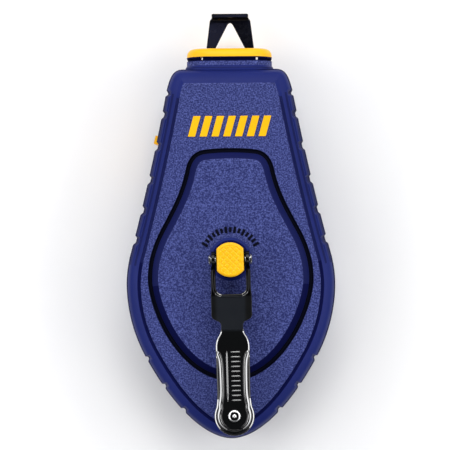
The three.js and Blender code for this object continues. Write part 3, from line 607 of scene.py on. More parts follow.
# ---- case shells
CASE_POINTS = 900
PANEL_POINTS = 480
GRIP_STRIP = (-2, 76)  # the stretch of y whose flanks carry grip pads
SIDE_PROFILE = [
    # (height above the parting plane, inset, dip on the upper flanks): up the side, over the grip pads
    # and through a shallow cove to the edge of the face
    (SEAM, 0.4, 0), (0.3, 0.1, 0), (0.55, 0, 0), (2, 0, 0), (5, 0.01, 0), (8, 0.04, 0), (11, 0.14, 0),
    (12.6, 0.32, 0), (13.8, 0.58, 0), (14.8, 0.92, 0), (15.6, 1.3, 0), (16.2, 1.66, 0), (16.62, 1.98, 0),
    (16.86, 2.2, 0), (17.02, 2.36, 0.02), (17.12, 2.48, 0.2), (17.22, 2.6, 0.5), (17.37, 2.8, 0.64),
    (17.6, 3.15, 0.7), (17.9, 3.6, 0.66), (18.2, 4.1, 0.54), (18.46, 4.6, 0.4), (18.66, 5.0, 0.26),
    (18.8, 5.3, 0.12),
]
VALLEY_PROFILE = [
    # (height, inset): the valley between the shoulder and the face, which fades out under the nose
    (18.76, 5.5), (18.55, 5.75), (18.4, 6.05), (18.4, 6.4), (18.58, 6.7), (18.95, 6.9), (19.3, 7.0),
    (19.46, 7.14), (FACE, 7.35), (FACE, 7.8),
]
GROOVE_PROFILE = [  # (height, inset from the panel's outline)
    (FACE - 1.6, -0.5), (FACE - 1.4, -0.75), (FACE - 1.1, -0.9), (FACE - 0.22, -0.95), (FACE, -1.15),
    (FACE + 1, -1.15),
]
PANEL_PROFILE = [  # (height, inset): out of the groove, up the chamfer and on to the top
    (FACE - 2.2, 0.8), (FACE - 0.6, 0.8), (FACE - 0.25, 0.82), (FACE - 0.05, 0.88), (FACE + 0.15, 1.02),
    (FACE + 1.1, 2.06), (FACE + 2.1, 3.14), (FACE + 2.32, 3.4), (FACE + 2.44, 3.62), (PANEL, 3.95),
    (PANEL, 4.6),
]
NECK_PROFILE = [  # (y, how much smaller than the neck)
    (79, -0.7), (86.9, -0.7), (87.3, -0.62), (87.9, -0.2), (88.15, 0.0), (90.1, 0.0), (90.35, 0.15),
    (90.6, 0.6), (90.7, 1.4),
]
VENT_X, VENT_HALF = 12.6, 0.5


def notch_share(y):
    """1 inside the gaps between grip pads: a crisp step at the top, eased at the bottom."""
    share = np.zeros(len(y))
    for middle, length in NOTCHES:
        top, bottom = middle + length / 2, middle - length / 2
        ease = min(1.6, length * 0.45)
        inside = (1 - smoothstep(y, top - 0.25, top + 0.25)) * smoothstep(y, bottom - 0.2, bottom + ease)
        share = np.maximum(share, inside)
    return share


def side_rings(outline, side):
    """The flank's rings and the material above each: bands of painted shade follow the grip pads' edges, and
    the flank's low side is painted in shade.
    """
    y = outline[:, 1]
    on_flank = smoothstep(np.abs(outline[:, 0]), 14, 20) * (1 - smoothstep(y, 80, 82))
    notch = GRIP_DEPTH * notch_share(y) * on_flank
    cove = smoothstep(y, -2, 5) * (1 - smoothstep(y, 71, 79)) * on_flank
    rings, kinds = [], []
    for height, depth, dip in SIDE_PROFILE:
        reach = (1 - smoothstep(depth, 2.2, 2.75)) * smoothstep(height, 0.0, 0.5)
        shaped = inset(outline, depth) + inward(outline) * (reach * notch)[:, None]
        rings.append(at_height(shaped, MID + side * (height - dip * cove)))
        low_side = depth < 0.9
        painted_shade_band = SHADE if low_side else HALF_SHADE if depth < 1.4 or 2.9 < depth < 4.1 else SMOOTH
        kinds.append(np.where((y > GRIP_STRIP[0]) & (y < GRIP_STRIP[1]) | low_side, painted_shade_band, SMOOTH))
    return rings, kinds


def valley_rings(outline, side):
    """From the flank's last ring to the face. Under the nose the valley gives way to a plain slope. The
    valley is painted in shade, with half shade on its upper part.
    """
    y = outline[:, 1]
    under_nose = smoothstep(y, 70, 79)
    low, start = SIDE_PROFILE[-1][:2]
    high, end = VALLEY_PROFILE[-1]
    rings, kinds = [], []
    for height, depth in VALLEY_PROFILE:
        slope = low + (high - low) * (depth - start) / (end - start)
        z = MID + side * (height * (1 - under_nose) + slope * under_nose)
        rings.append(at_height(inset(outline, depth), z))
        valley = np.where(under_nose < 0.5, np.where(y > 0, HALF_SHADE, SHADE), SMOOTH)
        kinds.append(valley if depth < 6.95 else TEXTURE)
    return rings, kinds


def case_body(name, side):
    outline = case_outline(CASE_POINTS)
    flank, flank_kinds = side_rings(outline, side)
    valley, valley_kinds = valley_rings(outline, side)
    kinds = flank_kinds + valley_kinds
    return loft(name, flank + valley, CASE, lambda k: kinds[k], (SMOOTH, TEXTURE))


def levels(outline, profile, side):
    return [at_height(inset(outline, depth), MID + side * height) for height, depth in profile]


def groove_cutter(side):
    rings = levels(panel_outline(PANEL_POINTS), GROOVE_PROFILE, side)
    return loft("groove_cutter", rings, CASE, lambda k: DEEP_SHADE, (DEEP_SHADE, DEEP_SHADE))


def raised_panel(side):
    outline = panel_outline(PANEL_POINTS)
    # Painted shade in the groove and on the chamfer, with half shade on the chamfer's upper part where light
    # falls on it.
    chamfer = np.where(outline[:, 1] > -12, HALF_SHADE, SHADE)
    kinds = [DEEP_SHADE, DEEP_SHADE, *[chamfer] * 6, TEXTURE, TEXTURE]
    rings = levels(outline, PANEL_PROFILE, side)
    return loft("raised_panel", rings, CASE, lambda k: kinds[k], (DEEP_SHADE, TEXTURE))


def nose_body(name, half_x, half_z, corner, profile, materials=CASE, kinds=None, ends=(0, 0)):
    """A rounded rectangle swept along Y. profile holds (y, how much smaller)."""
    rings = []
    for y, less in profile:
        section = rounded_rectangle(half_x - less, half_z - less, corner - less)
        rings.append(np.column_stack([section[:, 0], np.full(len(section), y), MID + section[:, 1]]))
    return loft(name, rings, materials, (lambda k: kinds[k]) if kinds else None, ends)


def on_track(obj):
    place = Matrix.Translation(Vector((TRACK_X, TRACK_Y, 0)) * MM)
    return transform(obj, place @ Matrix.Rotation(TRACK_TURN, 4, "Z"))


def track_block(x0, x1, y0, y1, half_z):
    return on_track(block("track_block", x0, x1, y0, y1, MID - half_z, MID + half_z))


def hollow(side):
    """The room inside a shell, leaving a wall for the fill door's track."""
    room = loft("room", levels(case_outline(240), [(-1, 2.6), (14.2, 4.0), (16.8, 6.6)], side))
    join(room, loft("panel_room", levels(panel_outline(200), [(15, 5.2), (19.4, 5.2)], side)))
    return cut(room, track_block(-1, 6.8, -48.8, 4.5, 13.1))


def case_shell(name, side):
    shell = case_body(name, side)
    # The neck's top rings carry painted shade for the gap under the collar, and its second ring half shade.
    neck_kinds = [SMOOTH, HALF_SHADE, SMOOTH, SMOOTH, TEXTURE, SHADE, SHADE, SHADE]
    neck = nose_body("neck", 19.5, 13.5, 9, NECK_PROFILE, CASE, neck_kinds)
    half_space = block("half_space", -80, 80, -120, 140, MID + side * SEAM, MID + side * 60)
    combine(neck, [half_space], "INTERSECT")
    join(shell, neck)
    cut(shell, groove_cutter(side))
    join(shell, raised_panel(side))
    return cut(
        shell,
        hollow(side),
        nose_body("bore", 17.6, 11.6, 7.6, [(83.8, 0), (93, 0)]),
        track_block(-6, 3, -46.8, 2.5, 8.8),
        track_block(1.9, 4, -46.8, 2.5, 10.8),
        track_block(-1, 9, -21.5, -1.5, 7.5),
    )


def screw_bosses(side):
    """The screw bosses inside a shell, some of which show through the open fill port."""
    radius = 3.6 if side > 0 else 4.8
    return [disc("boss", radius, MID + side * SEAM, MID + side * 17.2, x, y, CASE, 40) for x, y in SCREWS]


def front_case():
    shell = case_shell("case_front", 1)
    join(shell, *screw_bosses(1))
    join(shell, turned("gear_wall", [(25.9, 27.2), (28.3, 27.2), (28.3, 41.7), (25.9, 41.7)]))
    # Painted shade on the boss ring's inner edge by the hub.
    ring = turned("boss_ring", [
        (9.0, 43.0), (11.6, 43.0), (11.6, 43.98), (11.2, 44.14), (10.7, 44.2), (9.5, 44.2), (9.15, 44.12),
        (9.0, 43.95),
    ], CASE, 128, [SMOOTH, SMOOTH, TEXTURE, TEXTURE, TEXTURE, SHADE, DEEP_SHADE, DEEP_SHADE])
    # Painted shade on the vents' walls.
    vents = [
        block("vent", x - VENT_HALF, x + VENT_HALF, 90.55, 93, MID, MID + 20, CASE, SHADE)
        for x in (-VENT_X, VENT_X)
    ]
    cut(shell, disc("shaft_hole", 10.15, 30, 50, count=96), *vents)
    join(shell, ring)
    settle(shell, "front_shell")


def rear_case():
    shell = case_shell("case_rear", -1)
    join(shell, *screw_bosses(-1))
    screw_hole = [
        (0, -1), (4.0, -1), (4.0, 2.2), (3.75, 2.5), (3.45, 2.75), (3.4, 3.0), (3.4, 6.0), (1.8, 6.0),
        (1.8, 24), (0, 24),
    ]
    cut(shell, *[moved(turned("screw_hole", screw_hole, CASE, 48), x, y) for x, y in SCREWS])
    settle(shell, "rear_shell")


# ---- nose
def soft_block(name, x0, x1, y0, y1, z0, z1, edge, materials, segments=3):
    """A block with rounded edges."""
    return bevelled(block(name, x0, x1, y0, y1, z0, z1, materials), edge, segments)


def nose_collar():
    # The skirt, the collar's inner lip and the cut underside are painted in shade, for the dark gap between
    # collar and neck.
    look, dark = ("yellow", "blue_painted_shade"), 1
    collar = nose_body("collar", 19.5, 14, 10, [
        (91.3, 0.5), (91.4, 0.22), (91.7, 0.04), (92.1, 0), (93.1, 0.05), (93.9, 0.22), (94.6, 0.56),
        (95.2, 1.06), (95.65, 1.66), (95.9, 2.3), (96, 3.1),
    ], look, [dark] * 3 + [0] * 7, (dark, 0))
    skirt_profile = [(84.6, 0.3), (84.9, 0), (92.2, 0)]
    skirt = nose_body("skirt", 17.2, 11.2, 7.2, skirt_profile, look, [dark] * 2, (dark, dark))
    join(collar, skirt)
    cutters = [
        nose_body("hollow", 15.7, 9.7, 5.7, [(83, 0), (93.1, 0)], look),
        block("slot", -12.4, 12.4, 90, 98, MID - 1.15, MID + 1.15, look),
    ]
    for s in (-1, 1):
        low, high = s * VENT_X - VENT_HALF, s * VENT_X + VENT_HALF
        cutters.append(block("underside", -16.6, 16.6, 90.2, 91.9, MID + s * 11.21, MID + s * 20, look, dark))
        cutters.append(block("vent", low, high, 89.9, 94.5, MID - 20, MID, look))
        cutters.append(block("slit", low, high, 89.9, 91.9, MID, MID + 20, look))
    cut(collar, *cutters)
    settle(collar, "nose_collar", 40)


def hook_sections():
    """Along the hook's strip and up its lip: (y, z, tilt, half width)."""
    bend_y, tilt, bend_r, lip = 110.95, math.radians(86), 1.7, 6.88
    back = bend_r * math.tan(tilt / 2)
    strip_end = bend_y - back
    for y in np.linspace(86, strip_end, 40):
        yield y, MID, 0, np.interp(y, [88, 98, 108, strip_end], [11.9, 10.8, 9.55, 9.35])
    for turn in np.linspace(0, tilt, 9)[1:]:
        y, z = strip_end + bend_r * math.sin(turn), MID + bend_r * (1 - math.cos(turn))
        yield y, z, turn, 9.35 - 0.9 * smoothstep(turn, 0.1, 0.8)
    for share, width in ((0.3, 8.4), (0.7, 8.4), (0.86, 8.38), (0.93, 8.25), (0.975, 8.0), (1.0, 7.6)):
        reach = share * (lip - back)
        yield y + reach * math.cos(tilt), z + reach * math.sin(tilt), tilt, width


def line_hook():
    look, half_thick, to_the_right = ("hook_steel",), 0.75, 0.4
    sections = list(hook_sections())
    ends = {0: 0.2, len(sections) - 1: 0.3}
    rings = []
    for i, (y, z, turn, width) in enumerate(sections):
        less = ends.get(i, 0)
        across, up = rounded_rectangle(width, half_thick - less, 0.34 - less / 2, 5).T
        rings.append(np.column_stack([across, y - up * math.sin(turn), z + up * math.cos(turn)]))
    hook = loft("line_hook_sheet", rings, look)
    window = np.vstack([
        [(7.0, 95.2), (7.35, 95.4), (7.3, 95.9)],
        bezier([(1.35, 107.4), (0, 109.6), (-1.35, 107.4)], 16),
        [(-7.3, 95.9), (-7.35, 95.4), (-7.0, 95.2)],
    ])
    cut(hook, prism("window", window, 18, 26, look), disc("eye", 1.3, 18, 26, 0, 89, look))
    bevelled(hook, 0.2, 3, 40)
    moved(hook, to_the_right)
    settle(hook, "line_hook", 50)


def felt_pads():
    for side, node in ((1, "felt_pad_front"), (-1, "felt_pad_rear")):
        near, far = MID + side * 0.8, MID + side * 11
        pad = soft_block(node + "_wad", -11, 11, 74.6, 81.4, near, far, 0.9, ("felt",), 4)
        settle(pad, node, 60)


def line_guide():
    guide = turned("line_guide_eyelet", [
        (1.5, -0.5), (1.62, -0.72), (1.9, -0.8), (3.3, -0.8), (3.5, -0.6), (3.5, 0.6), (3.3, 0.8), (1.9, 0.8),
        (1.62, 0.72), (1.5, 0.5),
    ], ("steel",), 64)
    about_y(guide, 82.7)
    settle(guide, "line_guide")


# ---- line
LINE_ROUTE = [
    (29.3, 13.4, 15.5), (16, 41, 18.5), (2.6, 68.5, 21.6), (0.8, 73, 22), (0, 77, 22), (0, 85.4, 22),
]
STRAND_R = 0.3
STRAND_LAY = 0.26  # from the line's middle to each strand's
LINE_TURNS = 34


def tube(name, route, radius, sides, materials):
    section = around(radius, np.linspace(0, 360, sides, endpoint=False))
    side, up = square_to(route)
    rings = [p + section[:, :1] * s + section[:, 1:] * u for p, s, u in zip(route, side, up)]
    return loft(name, rings, materials)


def chalk_line():
    """Three strands laid round each other from the winding to the hook, with a knot and a loop at the end."""
    route = eased(sampled(np.array(LINE_ROUTE, float), 900), 6)
    side, up = square_to(route)
    share = np.linspace(0, 1, len(route))
    parts = []
    for start in range(3):
        angle = 2 * math.pi * (LINE_TURNS * share + start / 3)
        lay = np.cos(angle)[:, None] * side + np.sin(angle)[:, None] * up
        parts.append(tube("strand", route + STRAND_LAY * lay, STRAND_R, 8, ("line",)))
    knot = turned("knot", [
        (0, 0), (0.7, 0.05), (0.95, 0.3), (0.8, 0.55), (0.95, 0.8), (0.8, 1.05), (0.95, 1.3), (0.7, 1.6),
        (0, 1.7),
    ], ("line",), 20)
    parts.append(about_y(knot, 84.6))
    t = np.linspace(0, 2 * math.pi, 40)[:-1]
    loop = np.column_stack([0.5 * np.sin(t), 86.05 + 3.35 * (1 - np.cos(t)) / 2, MID + 1.15 * np.sin(t)])
    parts.append(tube("loop", loop, STRAND_R, 8, ("line",)))
    line = merge("line_strands", parts)
    shade(line, 60)
    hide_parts("chalk_line")
    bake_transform(line)


def line_winding():
    """Turns of line, side by side on a slightly crowned bundle."""
    core, rim, low, high, turns = 13.3, 30.0, 7.75, 23.25, 14
    profile = [(core, low)]
    for k in range(turns):
        for t in np.linspace(0, math.pi, 7)[:-1]:
            z = low + (k + 0.5 - 0.5 * math.cos(t)) * (high - low) / turns
            crown = 0.5 * math.cos(math.pi * (z - (low + high) / 2) / 17)
            profile.append((rim + crown + 0.45 * math.sin(t), z))
    profile.append((core, high))
    winding = turned("winding_turns", profile, ("line",), 120)
    settle(winding, "line_winding", 70)


# ---- crank
def at_rest(obj):
    """Crank pieces are made with the arm along -Y, then turned to where it rests."""
    return transform(obj, Matrix.Rotation(CRANK_ANGLE, 4, "Z"))


def hub_cover():
    # The cover's inner part, next to the hub, is painted in shade; its outer part is plain smooth blue.
    cover = turned("hub_cover", [
        (7.45, 44.3), (9.6, 44.3), (9.75, 44.4), (9.7, 44.55), (9.2, 44.85), (8.5, 45.3), (8.0, 45.8),
        (7.75, 46.2), (7.45, 46.3),
    ], ("blue_smooth", "blue_painted_shade"), 96, [0] * 5 + [1] * 4)
    add_on(cover, "crank")


def crank_hub():
    look, clutch_flats = ("crank_satin",), 10
    hub = turned("hub", [
        (0, 35.2), (7.1, 35.2), (7.4, 35.5), (7.4, 35.9), (6.7, 35.9), (6.7, 36.8), (7.4, 36.8), (7.4, 46.25),
        (7.2, 46.4), (0, 46.4),
    ], look)
    hub_cover()
    yoke = disc("yoke", 7.6, 46.2, 54.5, 0, 0, look, 96)
    combine(yoke, [soft_block("flats", -6.5, 6.5, -9, 9, 40, 54.5, 0.01, look, 1)], "INTERSECT")
    join(hub, yoke)
    cut(
        hub,
        disc("bore", 2.8, 30, 60, 0, 0, look, 48),
        disc("pocket", 4.6, 48, 60, 0, 0, look),
        prism("socket", around(clutch_flats / math.sqrt(3), range(0, 360, 60)), 30, 38.4, look),
        about_x(disc("pin_hole", PIN_HOLE_R, -9, 9, 0, 0, look, 40), HINGE_Z),
    )
    bevelled(hub, 0.25, 3, 45)
    settle(at_rest(hub), "crank_hub", 40)


def arm_outline():
    """The fork's shoulders, the waist, and the paddle with its round end."""
    return closed([
        np.array([(0, -4.2), (7.6, -4.2)]),
        bezier([(7.6, -4.2), (8.85, -4.2), (8.85, -5.5)], 12),
        np.array([(8.85, -5.5), (8.9, -13.5), (9.1, -16)]),
        np.array([(9.1, -16), (9.1, -24.6)]),
        bezier([(9.1, -24.6), (9.1, -26.1), (7.7, -26.8)], 12),
        np.array([(7.7, -26.8), (6.1, -27.5)]),
        bezier([(6.1, -27.5), (4.93, -28.1), (4.93, -29.6)], 12),
        bezier([(4.93, -29.6), (4.93, -32.2), (6.2, -34)], 16),
        bezier([(6.2, -34), (7.6, -36.2), (7.6, -39)], 16),
        np.array([(7.6, -39), (7.4, -58.7)]),
        bezier([(7.4, -58.7), (7.4, -62), (8.0, -65.8)], 16),
        around(8.9, np.linspace(26, -90, 60), 0, ARM_END_Y),
    ])


RAIL_PATH = [
    (7.0, -40.4), (6.75, -41.3), (6.2, -42.6), (5.65, -44.5), (5.4, -48), (5.3, -53), (5.3, -58), (5.45, -61),
    (5.85, -63.4), (6.3, -65.4),
]
RAIL_SECTION = np.array([
    # (outward from the rail's line, height above the paddle): a narrow flat low inside, a wide one outside
    (-1.2, -0.2), (-1.14, 0.02), (-1.1, 0.05), (-0.78, 0.22), (-0.72, 0.24), (-0.6, 0.26), (-0.57, 0.54),
    (-0.45, 0.6), (0.1, 0.6), (0.2, 0.56), (0.24, 0.54), (0.96, 0.15), (1.02, 0.1), (1.08, -0.2),
])
BEAD_HALF_SECTION = [  # (from the bead's line, height over it)
    (0.3, 0.44), (0.42, 0.4), (0.66, 0.27), (0.74, 0.17), (0.8, 0), (0.8, -0.9),
]


def paddle_rail():
    """A raised rail down both sides of the paddle and round its end, where its inner side is lower."""
    half = np.vstack([RAIL_PATH, around(6.75, np.linspace(32, -90, 50), 0, ARM_END_Y)])
    path = np.vstack([half * [-1, 1], half[::-1][1:]])
    count = 240
    at = np.linspace(0, distances(path)[-1], count)
    line = eased(sampled(path, count), 12)
    swell = np.maximum(0.15, np.minimum(1, np.minimum(at, at[-1] - at) / 1.6) ** 0.5)
    inner_share = 0.3 + 0.7 * smoothstep(np.abs(line[:, 0]), 2.5, 4.8)
    across, height = RAIL_SECTION.T
    rings = []
    for p, out, size, share in zip(line, rightward(line), swell, inner_share):
        lowered = height * size * np.where(across < -0.59, share, 1)
        z = ARM_TOP + np.where(height > 0, lowered, height)
        rings.append(at_height(p + out * (across * size)[:, None], z))
    outer_side = np.where(np.arange(len(across)) > 5, RUBBED, 0)
    return loft("rail", rings, ARM, lambda k: outer_side if abs(line[k][0]) > 3.4 else 0)


def paddle_rib(start, end, radius):
    """A round-ended bar lying half sunk in the paddle."""
    height = ARM_TOP - 0.1
    start, end = np.array([*start, height]), np.array([*end, height])
    length = np.linalg.norm(end - start)
    share = np.linspace(0, 1, 9)
    past_end = (np.abs(share - 0.5) * length - (length / 2 - radius)).clip(0) / radius
    size = radius * np.sqrt(np.clip(1 - past_end**2, 0.05, 1))
    side, up = np.cross([0, 0, 1], end - start) / length, np.array([0, 0, 1])
    circle = around(1, np.linspace(0, 360, 16, endpoint=False))
    section = circle[:, :1] * side + circle[:, 1:] * up
    rings = [start + (end - start) * t + r * section for t, r in zip(share, size)]
    return loft("rib", rings, ARM, lambda k: RUBBED, (RUBBED, RUBBED))


def fork_bead():
    """The rolled edge round the fork's mouth, rubbed bright at its corners."""
    loop = rounded_rectangle(7.55, 7.8, 3.8, 16) + [0, -8.35]
    low = loop[loop[:, 1] < -8]
    low = low[np.argsort(np.arctan2(low[:, 1] + 8, low[:, 0]))]
    line = sampled(np.vstack([[(-7.7, -4.6)], low, [(7.7, -4.6)]]), 90)
    right = np.array(BEAD_HALF_SECTION)
    across, height = np.vstack([right[::-1] * [-1, 1], right]).T
    rings = [
        at_height(p + out * across[:, None], ARM_TOP - 0.15 + height)
        for p, out in zip(line, rightward(line))
    ]
    return loft("bead", rings, ARM, lambda k: RUBBED if 4.6 < abs(line[k][0]) < 6.9 else 0)


def arm_sheet():
    outline = even(arm_outline(), 1000)
    y = outline[:, 1]
    edge_share = 1 - 0.65 * smoothstep(y, PADDLE_Y - 1, PADDLE_Y)
    profile = [
        (53.6, 0.3), (53.66, 0.12), (53.75, 0), (54.3, 0), (54.66, 0.03), (54.86, 0.1), (54.93, 0.15),
        (54.945, 0.18), (55.185, 0.63), (ARM_TOP, 0.67), (ARM_TOP, 0.75),
    ]
    rings = [
        at_height(outline + inward(outline) * (depth * edge_share)[:, None], z)
        for z, depth in profile
    ]
    chamfer = profile.index((54.945, 0.18))
    near_waist, near_end = (y < PADDLE_Y) & (y > -43.5), (y < -62) & (y > -75.5)
    rubbed = np.where(near_waist | near_end, RUBBED, 0)
    return loft("arm", rings, ARM, lambda k: rubbed if k == chamfer else 0)


def crank_arm():
    arm = arm_sheet()
    cut(arm, prism("notch", rounded_rectangle(6.75, 9, 3.0) + [0, -6.35], 48, 58, ARM))
    added = []
    for s in (-1, 1):
        ear = about_x(disc("ear", 3.8, s * 6.85, s * 8.5, 0, 0, ARM), HINGE_Z)
        added.append(bevelled(ear, 0.25, 3, 40))
        added.append(block("cheek", s * 6.95, s * 8.7, -25, -3.0, 50.2, 54.4, ARM))
    added += [fork_bead(), paddle_rib((-2.7, -63.2), (-2.7, -40.6), 0.5)]
    for k in range(11):
        y = -41.2 - 2.15 * k
        added.append(paddle_rib((-1.1, y), (3.3, y), 0.42))
    join(arm, *added, paddle_rail())
    cut(
        arm,
        about_x(disc("hole", PIN_HOLE_R, -10, 10, 0, 0, ARM, 40), HINGE_Z),
        disc("rivet_hole", 2.2, 50, 60, 0, ARM_END_Y, ARM),
    )
    settle(at_rest(arm), "crank_arm", 50)


def hinge_pins():
    for s, node in ((1, "hinge_pin_right"), (-1, "hinge_pin_left")):
        pin = turned(node + "_rivet", [
            (0, 4.9), (1.3, 4.9), (1.5, 5.1), (1.5, 8.8), (2.4, 8.8), (2.55, 8.95), (2.5, 9.3), (2.2, 9.65),
            (1.5, 9.85), (0, 9.9),
        ], ("crank_edge",), 48)
        transform(pin, Matrix.Rotation(s * math.pi / 2, 4, "Y"))
        moved(pin, 0, 0, HINGE_Z)
        settle(at_rest(pin), node)


def crank_knob():
    look, lobe_count, lobe_depth = ("knob_plastic",), 18, 0.3
    angle = np.linspace(0, 2 * math.pi, 216, endpoint=False)
    rings = []
    for z, r, share in [  # share: how much of the lobes' depth
        (42.6, 5.7, 0), (42.75, 6.15, 0), (43.1, 6.6, 0.1), (43.7, 6.9, 0.5), (44.4, 7.0, 1), (51.2, 7.0, 1),
        (51.9, 6.9, 0.5), (52.5, 6.6, 0.1), (52.95, 6.2, 0), (53.1, 5.7, 0),
    ]:
        reach = r - lobe_depth * share * (0.5 + 0.5 * np.cos(lobe_count * angle)) ** 2
        rings.append(at_height(np.column_stack([reach * np.cos(angle), reach * np.sin(angle)]), z))
    knob = loft("knob", rings, look)
    cut(knob, disc("bore", 2.3, 40, 60, materials=look), disc("recess", 3.9, 40, 44.8, materials=look))
    moved(knob, 0, ARM_END_Y)
    settle(at_rest(knob), "crank_knob", 40)


def knob_rivet():
    """Headed at both ends, with painted shade in the ring sunk round the upper head's dome."""
    profile = [
        (0, 43.2), (3.3, 43.2), (3.5, 43.4), (3.5, 44.3), (3.4, 44.4), (1.9, 44.4), (1.9, 55.24),
        (2.66, 55.24), (2.76, 55.4), (2.76, 55.76), (2.7, 55.84), (2.12, 56.15), (2.02, 56.18), (1.86, 56.1),
        (1.8, 55.7), (1.0, 55.7), (0.95, 55.9), (0.86, 56.02), (0.5, 56.22), (0, 56.3),
    ]
    # The sunk ring's walls and floor carry the arm's black as painted shade.
    rivet = turned("rivet", profile, ("bright_steel", "crank_black"), 64, [0] * 11 + [1] * 3 + [0] * 3)
    moved(rivet, 0, ARM_END_Y)
    settle(at_rest(rivet), "knob_rivet")


# ---- release button
def knurled_top(top, look):
    """A tall block whose top is sunk a little inside the rim and cut by diamond grooves."""
    count, pitch, groove_half, sunk, groove_depth = 110, 2.0, 0.45, 0.34, 0.28
    at = np.linspace(-8.5, 8.5, count)
    x, y = np.meshgrid(at, at)
    groove = np.zeros_like(x)
    for across in ((x + y) / math.sqrt(2), (x - y) / math.sqrt(2)):
        off = np.abs((across / pitch + 0.5) % 1 - 0.5) * pitch
        groove = np.maximum(groove, np.clip(1 - off / groove_half, 0, 1))
    inner = np.clip((6.9 - np.hypot(x, y)) / 0.6, 0, 1) * np.clip((5.2 - np.abs(x)) / 0.4, 0, 1)
    height = top - inner * (sunk + groove_depth * groove)
    layers = [np.column_stack([x.ravel(), y.ravel(), z.ravel()]) for z in (height, np.full_like(x, 50.0))]
    below = count * count
    grid = np.arange(below).reshape(count, count)
    a, b, c, d = (part.ravel() for part in (grid[:-1, :-1], grid[:-1, 1:], grid[1:, 1:], grid[1:, :-1]))
    faces = np.vstack([np.column_stack([a, b, c, d]), np.column_stack([d, c, b, a]) + below]).tolist()
    rim = np.concatenate([grid[0, :-1], grid[:-1, -1], grid[-1, :0:-1], grid[:0:-1, 0]])
    after = np.roll(rim, -1)
    faces += np.column_stack([rim, rim + below, after + below, after]).tolist()
    return make_object("knurl", np.vstack(layers), faces, look)


def release_button():
    look, radius, half_flat = ("yellow",), 7.7, 6.0
    corner = math.degrees(math.acos(half_flat / radius))
    outline = even(around(radius, np.concatenate([
        np.linspace(corner, 180 - corner, 60), np.linspace(180 + corner, 360 - corner, 60),
    ])), 360)
    edge = [
        (56.9, 0.4), (57.0, 0.15), (57.2, 0), (58.6, 0), (58.95, 0.08), (59.25, 0.28), (59.45, 0.6),
        (59.55, 1.0), (59.6, 1.45),
    ]
    rings = [at_height(inset(outline, depth), z) for z, depth in edge]
    cap = loft("cap", rings, look)
    combine(cap, [knurled_top(59.9, look)], "INTERSECT")
    cut(cap, disc("stem_hole", 2.7, 50, 58, materials=look))
    settle(at_rest(cap), "release_button", 30)


def button_spring():
    """Stands on the hub's pocket floor and holds the button up."""
    turns, dead_turns, low, high, wire_r = 6, 0.9, 48.5, 55.9, 0.42
    lowest = low + 0.45
    t = np.linspace(0, turns, 420)
    rise = np.clip((t - dead_turns) / (turns - 2 * dead_turns), 0, 1)
    route = np.column_stack([around(3.6, 360 * t), lowest + (high - lowest) * rise])
    spring = tube("spring", route, wire_r, 10, ("steel",))
    shade(spring, 60)
    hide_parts("button_spring")
    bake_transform(spring)


# ---- fill door, screws, bushing, marks
def fill_door():
    def part(name, x0, x1, y0, y1, half_z):
        return block(name, x0, x1, y0, y1, MID - half_z, MID + half_z, ("yellow",))

    plate = part("door_plate", 2.2, 3.7, -24, 1.2, 10.5)
    step = part("door_step", 1.9, 2.4, -24, 1.2, 8.5)
    thumb = part("door_thumb", -1.05, 2.0, -7.5, -3.7, 7)
    ribs = [part("door_rib", 1.5, 2.0, y, y + 0.6, 6.5) for y in (-22, -20.5, -19, -17.5, -16)]
    join(plate, step, thumb, *ribs)
    on_track(plate)
    bevelled(plate, 0.25, 3, 40)
    settle(plate, "fill_door", 40)


def case_screws():
    look, slot_half, slot_reach = ("steel",), 0.4, 2.1
    for i, (x, y) in enumerate(SCREWS):
        screw = turned("screw", [
            (0, 3.1), (2.2, 3.1), (2.6, 3.2), (2.9, 3.5), (3.0, 3.9), (3.0, 5.5), (2.9, 5.6), (1.4, 5.6),
            (1.4, 31.6), (0.8, 32.4), (0, 32.4),
        ], look, 40)
        cut(
            screw,
            block("slot", -slot_reach, slot_reach, -slot_half, slot_half, 2, 4.2, look),
            block("slot", -slot_half, slot_half, -slot_reach, slot_reach, 2, 4.2, look),
        )
        transform(screw, Matrix.Translation((x * MM, y * MM, 0)) @ Matrix.Rotation(0.4 * i, 4, "Z"))
        screw.name = f"screw_{i + 1}"
        bevelled(screw, 0.1, 2, 50)
        settle(screw, f"case_screw_{i + 1}", 40)


def front_bushing():
    bushing = turned("bushing", [
        (7.7, 38.9), (12.5, 38.9), (12.5, 41.1), (9.95, 41.1), (9.95, 42.8), (8.9, 42.9), (8.9, 43.7),
        (8.75, 43.9), (7.85, 43.9), (7.7, 43.75),
    ], ("brass",))
    settle(bushing, "front_bushing")


def stripe_mark():
    """A plain band of slanted bars on the face, above the panel."""
    low, high, lean, width, pitch, first = 55.4, 64.7, 2.6, 3.3, 5.32, -18.9
    bars = []
    for k in range(7):
        x = first + k * pitch
        outline = np.array([(x, low), (x + width, low), (x + lean + width, high), (x + lean, high)])
        bars.append(evaluated(bevelled(prism("bar", outline, 41.3, 41.86, ("yellow",)), 0.14, 3)))
    mark = merge("stripe_mark", bars)
    add_on(mark, "case", 45)


def release_ticks():
    """A plain arc of ticks over the release button, long and short by turns."""
    count, half_width, arc_r, half_arc = 15, 0.62, 13.3, 60
    ticks = []
    for k in range(count):
        reach = 1.1 if k % 2 else 1.5
        low, high = arc_r - reach, arc_r + reach
        tick = soft_block("tick", -half_width, half_width, low, high, 43.8, 44.14, 0.1, ("blue_deep_shade_and_ticks",), 2)
        turn = math.radians(half_arc - 2 * half_arc / (count - 1) * k)
        ticks.append(transform(evaluated(tick), Matrix.Rotation(turn, 4, "Z")))
    ring = merge("release_ticks", ticks)
    add_on(ring, "case", 45)


for make in (
    front_case, rear_case, nose_collar, line_hook, felt_pads, line_guide, chalk_line, line_winding, crank_hub,
    crank_arm, hinge_pins, crank_knob, knob_rivet, release_button, button_spring, fill_door, case_screws,
    front_bushing, stripe_mark, release_ticks,
):
    make()


